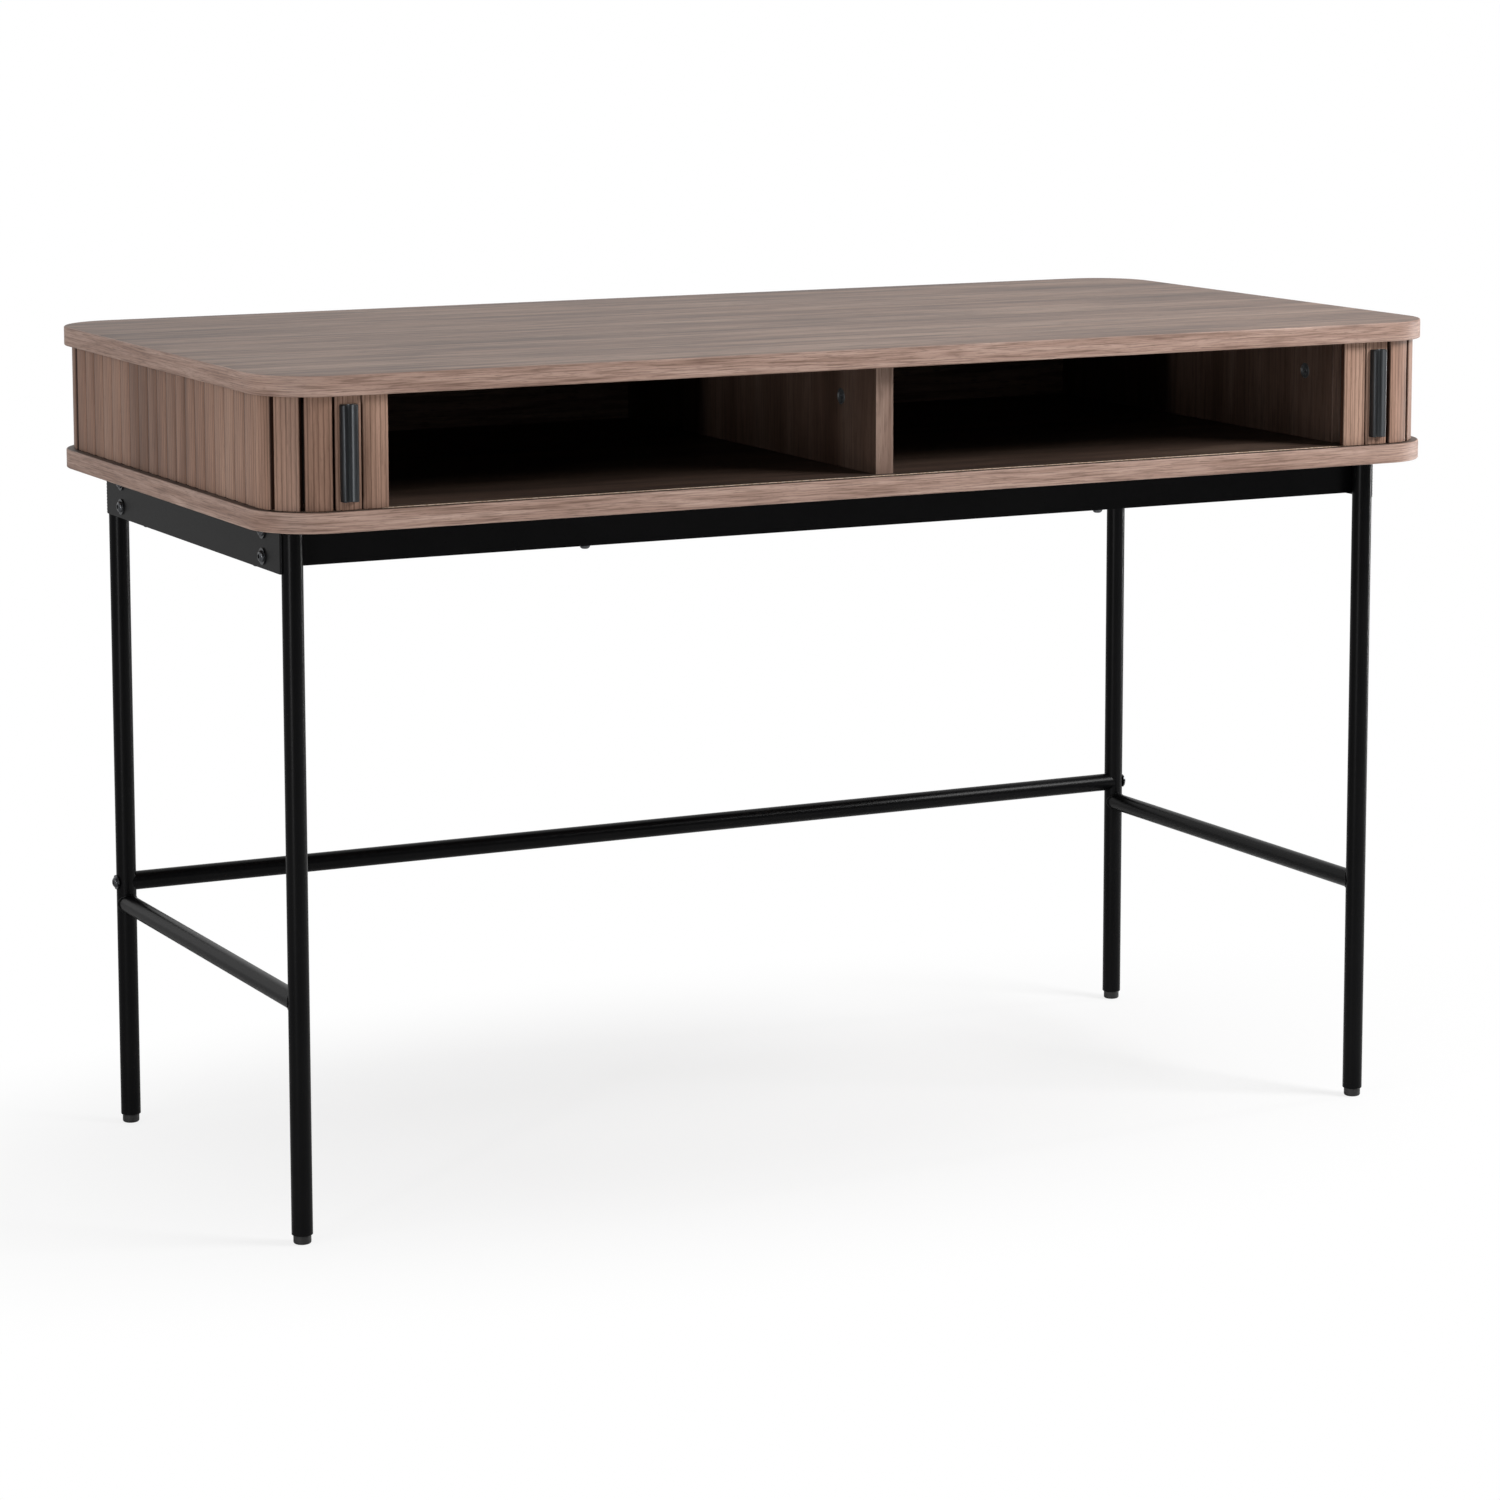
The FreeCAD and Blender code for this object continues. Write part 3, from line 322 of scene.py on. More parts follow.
def dress(name, material):
    """Gives a CAD node one material."""
    cad[name].data.materials.clear()
    cad[name].data.materials.append(material)


for name, foil in PANEL_FOILS.items():
    dress(name, foil)


# Fittings of the case
# Cam locks with a dished face, their bolts, and screws: turned and pressed steel with a thin zinc plate.
# The plate gives the eye a pale grey with a faint cloudy sheen.
CAM_DEPTH = 13 * MM
CAM_LEVEL = 723 * MM
CAM_ROWS = (-210 * MM, 190 * MM)
# x of each face that cams are let into, and the way it looks
CAM_FACES = ((-500 * MM, 1), (-9 * MM, -1), (500 * MM, -1))
# radius and distance along a cam: eased edge, barrel, raised rim, dished face and the recess for the driver
CAM_STEPS_MM = ((7.2, 0), (7.5, 0.4), (7.5, 12.7), (7.2, 13), (6.4, 13), (5.8, 11.8), (2.4, 11.8), (2, 10))
TURNED_POINTS = 64
CLOUD_MM = 4
zinc, tree, shader = new_material("zinc plate")
shader.inputs["Metallic"].default_value = 0.7
cloud_inputs = {"Vector": node(tree, "TexCoord").outputs["Object"], "Scale": 1000 / CLOUD_MM}
cloud = node(tree, "TexNoise", {**cloud_inputs, "Detail": 4.0, "Roughness": NOISE_ROUGHNESS}).outputs["Fac"]
shades = node(tree, "ValToRGB", {"Fac": cloud}, [(0.3, "#5b5d5f"), (0.7, "#7a7c7e")])
tree.links.new(shades.outputs[0], shader.inputs["Base Color"])
cloudy = node(tree, "MapRange", {"Value": cloud, "To Min": 0.32, "To Max": 0.5})
tree.links.new(cloudy.outputs[0], shader.inputs["Roughness"])
ZINC_NODES = ["cam_bolts", "panel_screws", "back_panel_screws", "stretcher_plugs"]
ZINC_NODES += ["left_pull_screws", "right_pull_screws"]
for name in ZINC_NODES:
    dress(name, zinc)
circle = np.linspace(0, 2 * np.pi, TURNED_POINTS, endpoint=False)


def turned(profile, start, axis):
    """A surface of revolution: (radius, distance) steps turned about an axis through start."""
    axis = np.asarray(axis, float)
    helper = np.array([0.0, 0.0, 1.0]) if abs(axis[2]) < 0.5 else np.array([1.0, 0.0, 0.0])
    first = np.cross(helper, axis)
    second = np.cross(axis, first)
    radius, distance = np.asarray(profile, float).T
    round_it = np.cos(circle)[:, None] * first + np.sin(circle)[:, None] * second
    return np.asarray(start) + radius[:, None, None] * round_it[None] + distance[:, None, None] * axis


cam_steps = np.array(CAM_STEPS_MM) * MM
cams = [
    turned(cam_steps, (face_x - facing * CAM_DEPTH, row, CAM_LEVEL), (facing, 0, 0))
    for face_x, facing in CAM_FACES
    for row in CAM_ROWS
]
stand_for(lofted("cam_locks_turned", np.array(cams), [zinc]), "desk", "zinc_fitting", "cam_locks")


# Slats of the two tambour doors
# Thin strips wrapped in walnut foil with the grain upright, their outer arrises eased.
# A narrow tongue at each end runs in the grooves, and the strips are glued to a cloth behind them.
SLAT_PITCH = 25 * MM
SLAT_HALF = 12.1 * MM
SLAT_THICK = 6 * MM
SLAT_EASE = 1.4 * MM
SLAT_HALF_HEIGHT = 49 * MM
TONGUE_REACH = 4.5 * MM
TONGUE_HALF = 6 * MM
TONGUE_THICK = 4 * MM
BACK_OFFSET = 14 * MM
LEAD_SLATS = 2
RUN_SLATS = 47
EASE_POINTS = 4
RIB_MM = 4.6
# first slat of each stretch and the one after its last, counted from the leading edge
SLAT_STRETCHES = {"lead_slat": (0, 1), "pull_slat": (1, 2), "corner_slats": (2, 5), "side_slats": (5, 24)}
SLAT_STRETCHES.update({"rear_corner_slats": (24, 27), "rear_slats": (27, RUN_SLATS)})
SLAT_MIDDLE_Z = (board_low.z + shelf_high.z) / 2
SLAT_SHADES = ("#856756", "#a0806e", "#b19381", "#614a3d")
SLAT_GRAIN = ((40, 40, 420), (1.8, 1.8, 60), (0.9, 0.9, 10))
slat_foil = walnut_foil("walnut foil, tambour", SLAT_SHADES, *SLAT_GRAIN, boldness=0.5, rib_mm=RIB_MM)
RUN_RADIUS = BOARD_CORNER - BACK_OFFSET
FRONT_RUN = LEAD_SLATS * SLAT_PITCH
CORNER_RUN = RUN_RADIUS * np.pi / 2
CORNER_X = HALF_WIDTH - BOARD_CORNER
CORNER_Y = HALF_DEPTH - BOARD_CORNER
SIDE_RUN = 2 * CORNER_Y
SIDES = ((-1, "left"), (1, "right"))


def run_points(distance, side, inset=0.0):
    """Points on the line of the slats' backs, at distances from a door's leading edge: along the front, round
    a quarter circle, along the side, round the rear quarter circle and along the back. The second result is
    the outward angle there."""
    bend = np.clip((distance - FRONT_RUN) / RUN_RADIUS, 0, np.pi / 2)
    bend = bend + np.clip((distance - FRONT_RUN - CORNER_RUN - SIDE_RUN) / RUN_RADIUS, 0, np.pi / 2)
    outward = 1.5 * np.pi - bend
    side_part = np.clip(distance - FRONT_RUN - CORNER_RUN, 0, SIDE_RUN)
    back_part = np.clip(distance - FRONT_RUN - 2 * CORNER_RUN - SIDE_RUN, 0, None)
    front_part = np.clip(FRONT_RUN - distance, 0, None)
    x = -CORNER_X + front_part + back_part + (RUN_RADIUS - inset) * np.cos(outward)
    y = -CORNER_Y + side_part + (RUN_RADIUS - inset) * np.sin(outward)
    if side > 0:
        x, outward = -x, np.pi - outward
    return np.stack([x, y], -1), outward


def slat_section():
    """A slat's section as (across, outwards) points: flat back and sides, front arrises eased by a quarter
    circle."""
    bend = np.linspace(0, np.pi / 2, EASE_POINTS)
    eased_x = SLAT_HALF - SLAT_EASE * (1 - np.cos(bend))
    right = np.stack([eased_x, SLAT_THICK - SLAT_EASE * (1 - np.sin(bend))], -1)
    return np.concatenate([[(-SLAT_HALF, 0), (SLAT_HALF, 0)], right, right[::-1] * (-1, 1)])


section = slat_section()
slat_middle = np.array([0, SLAT_THICK / 2])
tongue = slat_middle + (section - slat_middle) * (TONGUE_HALF / SLAT_HALF, TONGUE_THICK / SLAT_THICK)
slat_rings = np.stack([tongue, tongue, section, section, tongue, tongue])
slat_tip = SLAT_HALF_HEIGHT + TONGUE_REACH
slat_heights = np.array([-slat_tip, -SLAT_HALF_HEIGHT, -SLAT_HALF_HEIGHT])
slat_heights = SLAT_MIDDLE_Z + np.concatenate([slat_heights, -slat_heights[::-1]])


def strip_around(outline):
    """Running length round a slat's outline, counted from the middle of its front face."""
    running = lengths(np.concatenate([outline, outline[:1]]))
    half = len(outline) // 2
    return running - (running[half] + running[half + 1]) / 2


slat_around = strip_around(section)


def slat_skins(distance, side):
    """Slats at distances along the run: the section at each height, narrowed to the tongue at both ends."""
    middle, outward = run_points(distance, side)
    out = np.stack([np.cos(outward), np.sin(outward)], -1)[:, None, None]
    across = np.stack([-out[..., 1], out[..., 0]], -1)
    flat = middle[:, None, None] + slat_rings[None, ..., :1] * across + slat_rings[None, ..., 1:] * out
    heights = np.broadcast_to(slat_heights[None, :, None, None], flat.shape[:-1] + (1,))
    return np.concatenate([flat, heights], -1)


TONE_SEED = 5
TONE_RUN = 4
TONE_LOW = 0.3
TONE_HIGH = 0.95
TONE_CHANGE = 0.08
tone_draw = np.random.default_rng(TONE_SEED)


def slat_tones(count):
    """A tone for each slat: a slow drift along the foil, with a little change from strip to strip."""
    knots = np.arange(0, count + TONE_RUN, TONE_RUN)
    drift = np.interp(np.arange(count), knots, tone_draw.uniform(TONE_LOW, TONE_HIGH, len(knots)))
    return np.clip(drift + tone_draw.normal(0, TONE_CHANGE, count), 0, 1)


for side, hand in SIDES:
    tones = slat_tones(RUN_SLATS)
    for stretch, (first, last) in SLAT_STRETCHES.items():
        skins = slat_skins((np.arange(first, last) + 0.5) * SLAT_PITCH, side)
        label = f"{hand}_{stretch}"
        strip = {"around": slat_around, "along": slat_heights, "tone": tones[first:last]}
        piece = lofted(label + "_foiled", skins, [slat_foil], **strip, sharp=40)
        stand_for(piece, hand + "_door" if last <= LEAD_SLATS else "desk", "walnut_slat", label)


# The part of each curtain that comes round the corner when a door is drawn
# More of the same slats, placed as they lie with the door open, folded together inside the first
# corner slat. Their places come from where they lie when it is drawn, spread out behind it over the front.
DRAWN_SLATS = 20
DOOR_TRAVEL = 489.5 * MM
FOLD_NEAR = 541.7 * MM
FOLD_FAR = 544.5 * MM
DRAWN_BACK = 287.4 * MM
DRAWN_FRONT = 291.6 * MM
DRAWN_GAP = 0.9 * MM
DRAWN_HALF_HEIGHT = 48.7 * MM
FOLD_STEPS = 4001


def folded_place(drawn):
    """Where a point lies while the door is open, from where it lies when drawn. A point at share t of the
    fold is carried by 3t^2 - 2t^3 of the travel, so t is read back from that curve."""
    share = np.linspace(0, 1, FOLD_STEPS)
    carried = share * share * (3 - 2 * share)
    reached = -FOLD_FAR + share * (FOLD_FAR - FOLD_NEAR) + carried * DOOR_TRAVEL
    return -FOLD_FAR + np.interp(drawn, reached, share) * (FOLD_FAR - FOLD_NEAR)


slat_edges = np.linspace(-FOLD_FAR, DOOR_TRAVEL - FOLD_NEAR, DRAWN_SLATS + 1)
low_edge = slat_edges[:-1, None] + DRAWN_GAP / 2
high_edge = slat_edges[1:, None] - DRAWN_GAP / 2
drawn_x = [low_edge, high_edge, high_edge, high_edge - SLAT_EASE, low_edge + SLAT_EASE, low_edge]
drawn_x = np.concatenate(drawn_x, 1)
eased_front = DRAWN_FRONT - SLAT_EASE
drawn_y = -np.array([DRAWN_BACK, DRAWN_BACK, eased_front, DRAWN_FRONT, DRAWN_FRONT, eased_front])
drawn_outline = np.stack([drawn_x[0], drawn_y], -1)
drawn_around = strip_around(drawn_outline)
drawn_heights = SLAT_MIDDLE_Z + np.array([-DRAWN_HALF_HEIGHT, DRAWN_HALF_HEIGHT])
for side, hand in SIDES:
    x = folded_place(drawn_x)
    plan = np.stack([-side * x, np.broadcast_to(drawn_y, x.shape)], -1)
    if side < 0:
        # a mirrored outline runs the other way round, still from the two points at its back
        plan = np.roll(plan[:, ::-1], 2, axis=1)
    skins = np.stack([np.insert(plan, 2, height, axis=2) for height in drawn_heights], 1)
    strip = {"around": drawn_around, "along": drawn_heights, "tone": slat_tones(DRAWN_SLATS)}
    piece = lofted(hand + "_drawn_slats", skins, [slat_foil], **strip)
    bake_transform(piece)


# Backing cloth of the tambours
# Woven cotton canvas, dyed dark, glued across the backs of the slats so that they bend as one curtain.
# Its weave is finer than the eye makes out, so the threads are drawn about four times as wide.
CLOTH_THICK = 0.8 * MM
CLOTH_GLUE = 0.1 * MM
CLOTH_HALF_HEIGHT = 43 * MM
SLAT_GAP = 0.8 * MM
THREAD = 2 * MM
canvas, tree, shader = new_material("dark cotton canvas")
shader.inputs["Roughness"].default_value = 0.9
shader.inputs["Sheen Weight"].default_value = 0.2
weave_inputs = {"Vector": node(tree, "TexCoord").outputs["Object"], "Scale": 0.1 * np.pi / THREAD}
weave_inputs.update({"Distortion": 0.6, "Detail": 2.0})
weave = node(tree, "TexWave", weave_inputs, bands_direction="Z").outputs["Fac"]
shades = node(tree, "ValToRGB", {"Fac": weave}, [(0.2, "#15110e"), (0.8, "#2a241f")])
tree.links.new(shades.outputs[0], shader.inputs["Base Color"])
cloth_bump = node(tree, "Bump", {"Height": weave, "Strength": 0.4, "Distance": 0.2 * MM})
tree.links.new(cloth_bump.outputs[0], shader.inputs["Normal"])


def cloth_band(name, side, start, end, steps):
    """A band of cloth: a thin upright rectangle carried along the run from start to end."""
    distance = np.linspace(start, end, steps)
    near, _ = run_points(distance, side, CLOTH_GLUE)
    far, _ = run_points(distance, side, CLOTH_GLUE + CLOTH_THICK)
    low = SLAT_MIDDLE_Z - CLOTH_HALF_HEIGHT
    high = SLAT_MIDDLE_Z + CLOTH_HALF_HEIGHT
    edges = ((near, low), (far, low), (far, high), (near, high))
    rings = np.stack([np.insert(line, 2, z, axis=1) for line, z in edges], 1)
    return lofted(name, (rings[:, ::-1] if side > 0 else rings)[None], [canvas])


# start and end along the run, steps between them, body, and the slats that hold the band
CLOTH_BANDS = {
    "lead_canvas": (SLAT_GAP / 2, FRONT_RUN - SLAT_GAP / 2, 9, "door", ("lead_slat", "pull_slat")),
    "canvas": (FRONT_RUN + SLAT_GAP / 2, RUN_SLATS * SLAT_PITCH, 240, "desk", ("corner_slats", "side_slats")),
}
for side, hand in SIDES:
    for label, (start, end, steps, body, carriers) in CLOTH_BANDS.items():
        band = cloth_band(f"{hand}_{label}_cloth", side, start, end, steps)
        stand_for(band, hand + "_door" if body == "door" else body, "canvas", f"{hand}_{label}")


# Door pulls
# A short bar of extruded aluminium with a hollow down its face, anodised satin black.
# Two screws from behind the slat hold it.
PULL_HALF = 8 * MM
PULL_RIDGE = 5.2 * MM
PULL_DEPTH = 7.5 * MM
PULL_HOLLOW = 4.1 * MM
PULL_SHOULDER = 2 * MM
PULL_END_ROUND = 0.8 * MM
PULL_POINTS = 65
PULL_END_STEPS = (0.0, 0.45, 1.0)
DIE_LINE_MM = (0.8, 0.8, 40)
# Anodising leaves a dark satin face with faint lines from the die along its length.
anodised, tree, shader = new_material("black anodised aluminium")
shader.inputs["Metallic"].default_value = 0.85
place = node(tree, "TexCoord").outputs["Object"]
drawn_out = node(tree, "Mapping", {"Vector": place, "Scale": per_metre(*DIE_LINE_MM)}).outputs[0]
die_inputs = {"Vector": drawn_out, "Scale": 1.0, "Detail": 3.0, "Roughness": NOISE_ROUGHNESS}
die_lines = node(tree, "TexNoise", die_inputs).outputs["Fac"]
shades = node(tree, "ValToRGB", {"Fac": die_lines}, [(0.3, "#343638"), (0.7, "#424446")])
tree.links.new(shades.outputs[0], shader.inputs["Base Color"])
satin = node(tree, "MapRange", {"Value": die_lines, "To Min": 0.3, "To Max": 0.45})
tree.links.new(satin.outputs[0], shader.inputs["Roughness"])
# section: a parabolic hollow between two ridges, each rounded over to a low shoulder by a quarter ellipse
across = np.linspace(-PULL_HALF, PULL_HALF, PULL_POINTS)
hollow = PULL_DEPTH - PULL_HOLLOW * (1 - (across / PULL_RIDGE) ** 2)
over = np.clip((np.abs(across) - PULL_RIDGE) / (PULL_HALF - PULL_RIDGE), 0, 1)
rounded = PULL_SHOULDER + (PULL_DEPTH - PULL_SHOULDER) * np.sqrt(1 - over**2)
pull_face = -np.where(np.abs(across) < PULL_RIDGE, hollow, rounded)
pull_x = np.concatenate([across, [PULL_HALF, -PULL_HALF]])
pull_y = np.concatenate([pull_face, [0, 0]])
end_steps = np.array(PULL_END_STEPS)
end_inset = PULL_END_ROUND * (1 - np.sqrt(1 - (1 - end_steps) ** 2))
shrink = 1 - np.concatenate([end_inset, end_inset[::-1]]) / PULL_HALF
for side, hand in SIDES:
    low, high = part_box(hand + "_pull")
    levels = np.concatenate([low.z + PULL_END_ROUND * end_steps, high.z - PULL_END_ROUND * end_steps[::-1]])
    x = (low.x + high.x) / 2 + shrink[:, None] * pull_x[None]
    y = high.y + shrink[:, None] * pull_y[None]
    rings = np.stack([x, y, np.broadcast_to(levels[:, None], x.shape)], -1)
    pull = lofted(hand + "_pull_bar", rings[None], [anodised], sharp=50)
    stand_for(pull, hand + "_door", "black_aluminium", hand + "_pull")


# Legs and stretchers
# Round steel tube. The side stretchers are coped to the legs and welded; the back one is bolted between them.
# All of it is powder coated black after welding: a fine even texture with a soft highlight down each tube.
LEG_RADIUS = 9.5 * MM
LEG_EDGE = 0.6 * MM
STRETCHER_RADIUS = 9 * MM
BEAD_RADIUS = 1.3 * MM
BEAD_SWELL = 0.12
BEAD_POOLS = 16
BEAD_POINTS = 12
COAT_GRAIN_MM = 1.4
COAT_DRIFT_MM = 90
coat, tree, shader = new_material("black powder coat")
coat_inputs = {"Vector": node(tree, "TexCoord").outputs["Object"], "Roughness": NOISE_ROUGHNESS}
texture_inputs = {**coat_inputs, "Scale": 1000 / COAT_GRAIN_MM, "Detail": 2.0}
texture = node(tree, "TexNoise", texture_inputs).outputs["Fac"]
drift_inputs = {**coat_inputs, "Scale": 1000 / COAT_DRIFT_MM, "Detail": 4.0}
drift = node(tree, "TexNoise", drift_inputs).outputs["Fac"]
shades = node(tree, "ValToRGB", {"Fac": drift}, [(0.35, "#060607"), (0.7, "#0a0a0b")])
tree.links.new(shades.outputs[0], shader.inputs["Base Color"])
matt = node(tree, "MapRange", {"Value": texture, "To Min": 0.24, "To Max": 0.36})
tree.links.new(matt.outputs[0], shader.inputs["Roughness"])
shader.inputs["Specular IOR Level"].default_value = 0.08
coat_bump = node(tree, "Bump", {"Height": texture, "Strength": 0.12, "Distance": 0.1 * MM})
tree.links.new(coat_bump.outputs[0], shader.inputs["Normal"])
CORNERS = ("front_left", "rear_left", "front_right", "rear_right")
leg_at = {}
for corner in CORNERS:
    low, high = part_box(corner + "_leg")
    leg_at[corner] = (low + high) / 2
    steps = [(LEG_RADIUS - LEG_EDGE, 0), (LEG_RADIUS, LEG_EDGE), (LEG_RADIUS, high.z - low.z)]
    tube = turned(steps, (leg_at[corner].x, leg_at[corner].y, low.z), (0, 0, 1))
    stand_for(lofted(corner + "_leg_tube", tube[None], [coat]), "desk", "black_steel", corner + "_leg")


def cope_line(start, axis, length, radius):
    """The two end lines of a tube between legs: each follows a leg's round face, at sqrt(R^2 - s^2) from the
    leg's axis for a point s to the side of it."""
    axis = np.asarray(axis, float)
    sideways = np.array([axis[1], -axis[0], 0.0])
    aside = radius * np.cos(circle)
    reach = np.sqrt(LEG_RADIUS**2 - aside**2)
    around = aside[:, None] * sideways + (radius * np.sin(circle))[:, None] * (0, 0, 1)
    return [np.asarray(start) + around + at[:, None] * axis for at in (reach, length - reach)]


def weld_bead(line):
    """A weld along a closed line: a small circle carried round it, swelling with each pool of metal."""
    ahead = np.roll(line, -1, 0) - np.roll(line, 1, 0)
    ahead /= np.linalg.norm(ahead, axis=1, keepdims=True)
    outward = line - line.mean(0)
    outward -= (outward * ahead).sum(1, keepdims=True) * ahead
    outward /= np.linalg.norm(outward, axis=1, keepdims=True)
    third = np.cross(ahead, outward)
    size = BEAD_RADIUS * (1 + BEAD_SWELL * np.cos(BEAD_POOLS * circle))[:, None, None]
    turn = np.linspace(0, 2 * np.pi, BEAD_POINTS, endpoint=False)[None, :, None]
    return line[:, None] + size * (np.cos(turn) * outward[:, None] + np.sin(turn) * third[:, None])


beads = []
for side, hand in SIDES:
    low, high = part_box(hand + "_side_stretcher")
    front, rear = leg_at["front_" + hand], leg_at["rear_" + hand]
    ends = cope_line((front.x, front.y, (low.z + high.z) / 2), (0, 1, 0), rear.y - front.y, STRETCHER_RADIUS)
    tube = lofted(hand + "_side_stretcher_tube", np.array(ends)[None], [coat])
    stand_for(tube, "desk", "black_steel", hand + "_side_stretcher")
    beads += [weld_bead(line) for line in ends]
low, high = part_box("back_stretcher")
left, right = leg_at["rear_left"], leg_at["rear_right"]
ends = cope_line((left.x, left.y, (low.z + high.z) / 2), (1, 0, 0), right.x - left.x, STRETCHER_RADIUS)
tube = lofted("back_stretcher_tube", np.array(ends)[None], [coat])
stand_for(tube, "desk", "black_steel", "back_stretcher")
stand_for(lofted("stretcher_welds", np.array(beads), [coat], loop=True), "desk", "black_steel")


# Feet
# Moulded black plastic plugs pressed into the ends of the legs, each with a rounded sole.
# The mould's fine spark texture gives the eye a dull, even black.
FOOT_RADIUS = 8 * MM
FOOT_SOLE = 2 * MM
FOOT_HEIGHT = 8 * MM
FOOT_STEM = 7.9 * MM
SOLE_POINTS = 8
SPARK_MM = 0.9
plastic, tree, shader = new_material("moulded black plastic")
spark_inputs = {"Vector": node(tree, "TexCoord").outputs["Object"], "Scale": 1000 / SPARK_MM}
spark = node(tree, "TexNoise", {**spark_inputs, "Detail": 2.0, "Roughness": NOISE_ROUGHNESS}).outputs["Fac"]
shades = node(tree, "ValToRGB", {"Fac": spark}, [(0.3, "#0d0d0d"), (0.7, "#151515")])
tree.links.new(shades.outputs[0], shader.inputs["Base Color"])
dull = node(tree, "MapRange", {"Value": spark, "To Min": 0.45, "To Max": 0.62})
tree.links.new(dull.outputs[0], shader.inputs["Roughness"])
bend = np.linspace(0, np.pi / 2, SOLE_POINTS)
sole = np.stack([FOOT_RADIUS - FOOT_SOLE * (1 - np.sin(bend)), FOOT_SOLE * (1 - np.cos(bend))], -1)
for corner in CORNERS:
    low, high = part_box(corner + "_foot")
    stem = [(FOOT_RADIUS, FOOT_HEIGHT), (FOOT_STEM, FOOT_HEIGHT), (FOOT_STEM, high.z - low.z)]
    plug = turned(np.concatenate([sole, stem]), (leg_at[corner].x, leg_at[corner].y, low.z), (0, 0, 1))
    foot = lofted(corner + "_foot_plug", plug[None], [plastic])
    stand_for(foot, "desk", "black_plastic", corner + "_foot")


# Rails under the case
# Folded steel channels, welded to the legs at the sides and bolted across at the front and rear.
# They carry the same black powder coat as the tubes; an upright weld closes each end of a side rail.
for name in ("left_side_rail", "right_side_rail", "front_rail", "rear_rail"):
    dress(name, coat)
RAIL_WELD_X = 566.0 * MM
RAIL_WELD_Y = 229.9 * MM
RAIL_WELD_LOW = 598 * MM
RAIL_WELD_LENGTH = 41 * MM
RAIL_WELD_STEPS = 60
RAIL_WELD_SWELL = 0.1
RAIL_WELD_POOL = 3 * MM
height = np.linspace(0, RAIL_WELD_LENGTH, RAIL_WELD_STEPS)
swell = BEAD_RADIUS * (1 + RAIL_WELD_SWELL * np.cos(2 * np.pi * height / RAIL_WELD_POOL))
weld_steps = np.stack([swell, height], -1)
rail_welds = [
    turned(weld_steps, (side * RAIL_WELD_X, end * RAIL_WELD_Y, RAIL_WELD_LOW), (0, 0, 1))
    for side in (-1, 1)
    for end in (-1, 1)
]
stand_for(lofted("rail_welds", np.array(rail_welds), [coat]), "desk", "black_steel")


# Bolts, nuts and screws of the frame
# Button-head bolts on a plain washer, with a socket in the head, and pan-head wood screws.
# They are blackened steel: a thin oxide, shinier than the powder coat.
BOLT_RADIUS = 3 * MM
RAIL_HEAD_RADIUS = 7.5 * MM
STRETCHER_HEAD_RADIUS = 7 * MM
HEAD_HEIGHT = 4 * MM
WASHER_HEIGHT = 1.2 * MM
SOCKET_RADIUS = 2 * MM
DOME_SHARE = 0.72
DOME_POINTS = 9
TIP_SHARE = 0.8
TIP_HEIGHT = 0.6 * MM
SOCKET_FLOOR = 0.4
SOCKET_DRAFT = 0.95
FILM_MM = 2.5
oxide, tree, shader = new_material("black oxide steel")
shader.inputs["Metallic"].default_value = 0.9
film_inputs = {"Vector": node(tree, "TexCoord").outputs["Object"], "Scale": 1000 / FILM_MM}
film = node(tree, "TexNoise", {**film_inputs, "Detail": 3.0, "Roughness": NOISE_ROUGHNESS}).outputs["Fac"]
shades = node(tree, "ValToRGB", {"Fac": film}, [(0.3, "#3e4042"), (0.7, "#58595c")])
tree.links.new(shades.outputs[0], shader.inputs["Base Color"])
oily = node(tree, "MapRange", {"Value": film, "To Min": 0.18, "To Max": 0.3})
tree.links.new(oily.outputs[0], shader.inputs["Roughness"])
dress("rail_nuts", oxide)


def button_bolt(shank_length, shank_radius, head_radius, washer):
    """(radius, distance) steps of a bolt, from the tip of its shank over the head, a quarter ellipse, to the
    floor of its socket."""
    bend = np.linspace(0, np.pi / 2, DOME_POINTS)
    base = shank_length + washer
    dome_radius = head_radius * (DOME_SHARE if washer else 1.0)
    dome_x = SOCKET_RADIUS + (dome_radius - SOCKET_RADIUS) * np.cos(bend)
    dome = np.stack([dome_x, base + (HEAD_HEIGHT - washer) * np.sin(bend)], -1)
    shank = [(TIP_SHARE * shank_radius, 0), (shank_radius, TIP_HEIGHT), (shank_radius, shank_length)]
    rim = [(head_radius, shank_length)]
    if washer:
        rim += [(head_radius, base), (dome_radius, base)]
    socket = [(SOCKET_DRAFT * SOCKET_RADIUS, shank_length + SOCKET_FLOOR * HEAD_HEIGHT)]
    return np.concatenate([shank, rim, dome, socket])


def bolt_group(name, places, profile, *replaced):
    """Bolts as one piece: each place is (point at the shank's tip, direction towards the head)."""
    skins = np.array([turned(profile, start, axis) for start, axis in places])
    stand_for(lofted(name, skins, [oxide], sharp=40), "desk", "black_fixing", *replaced)


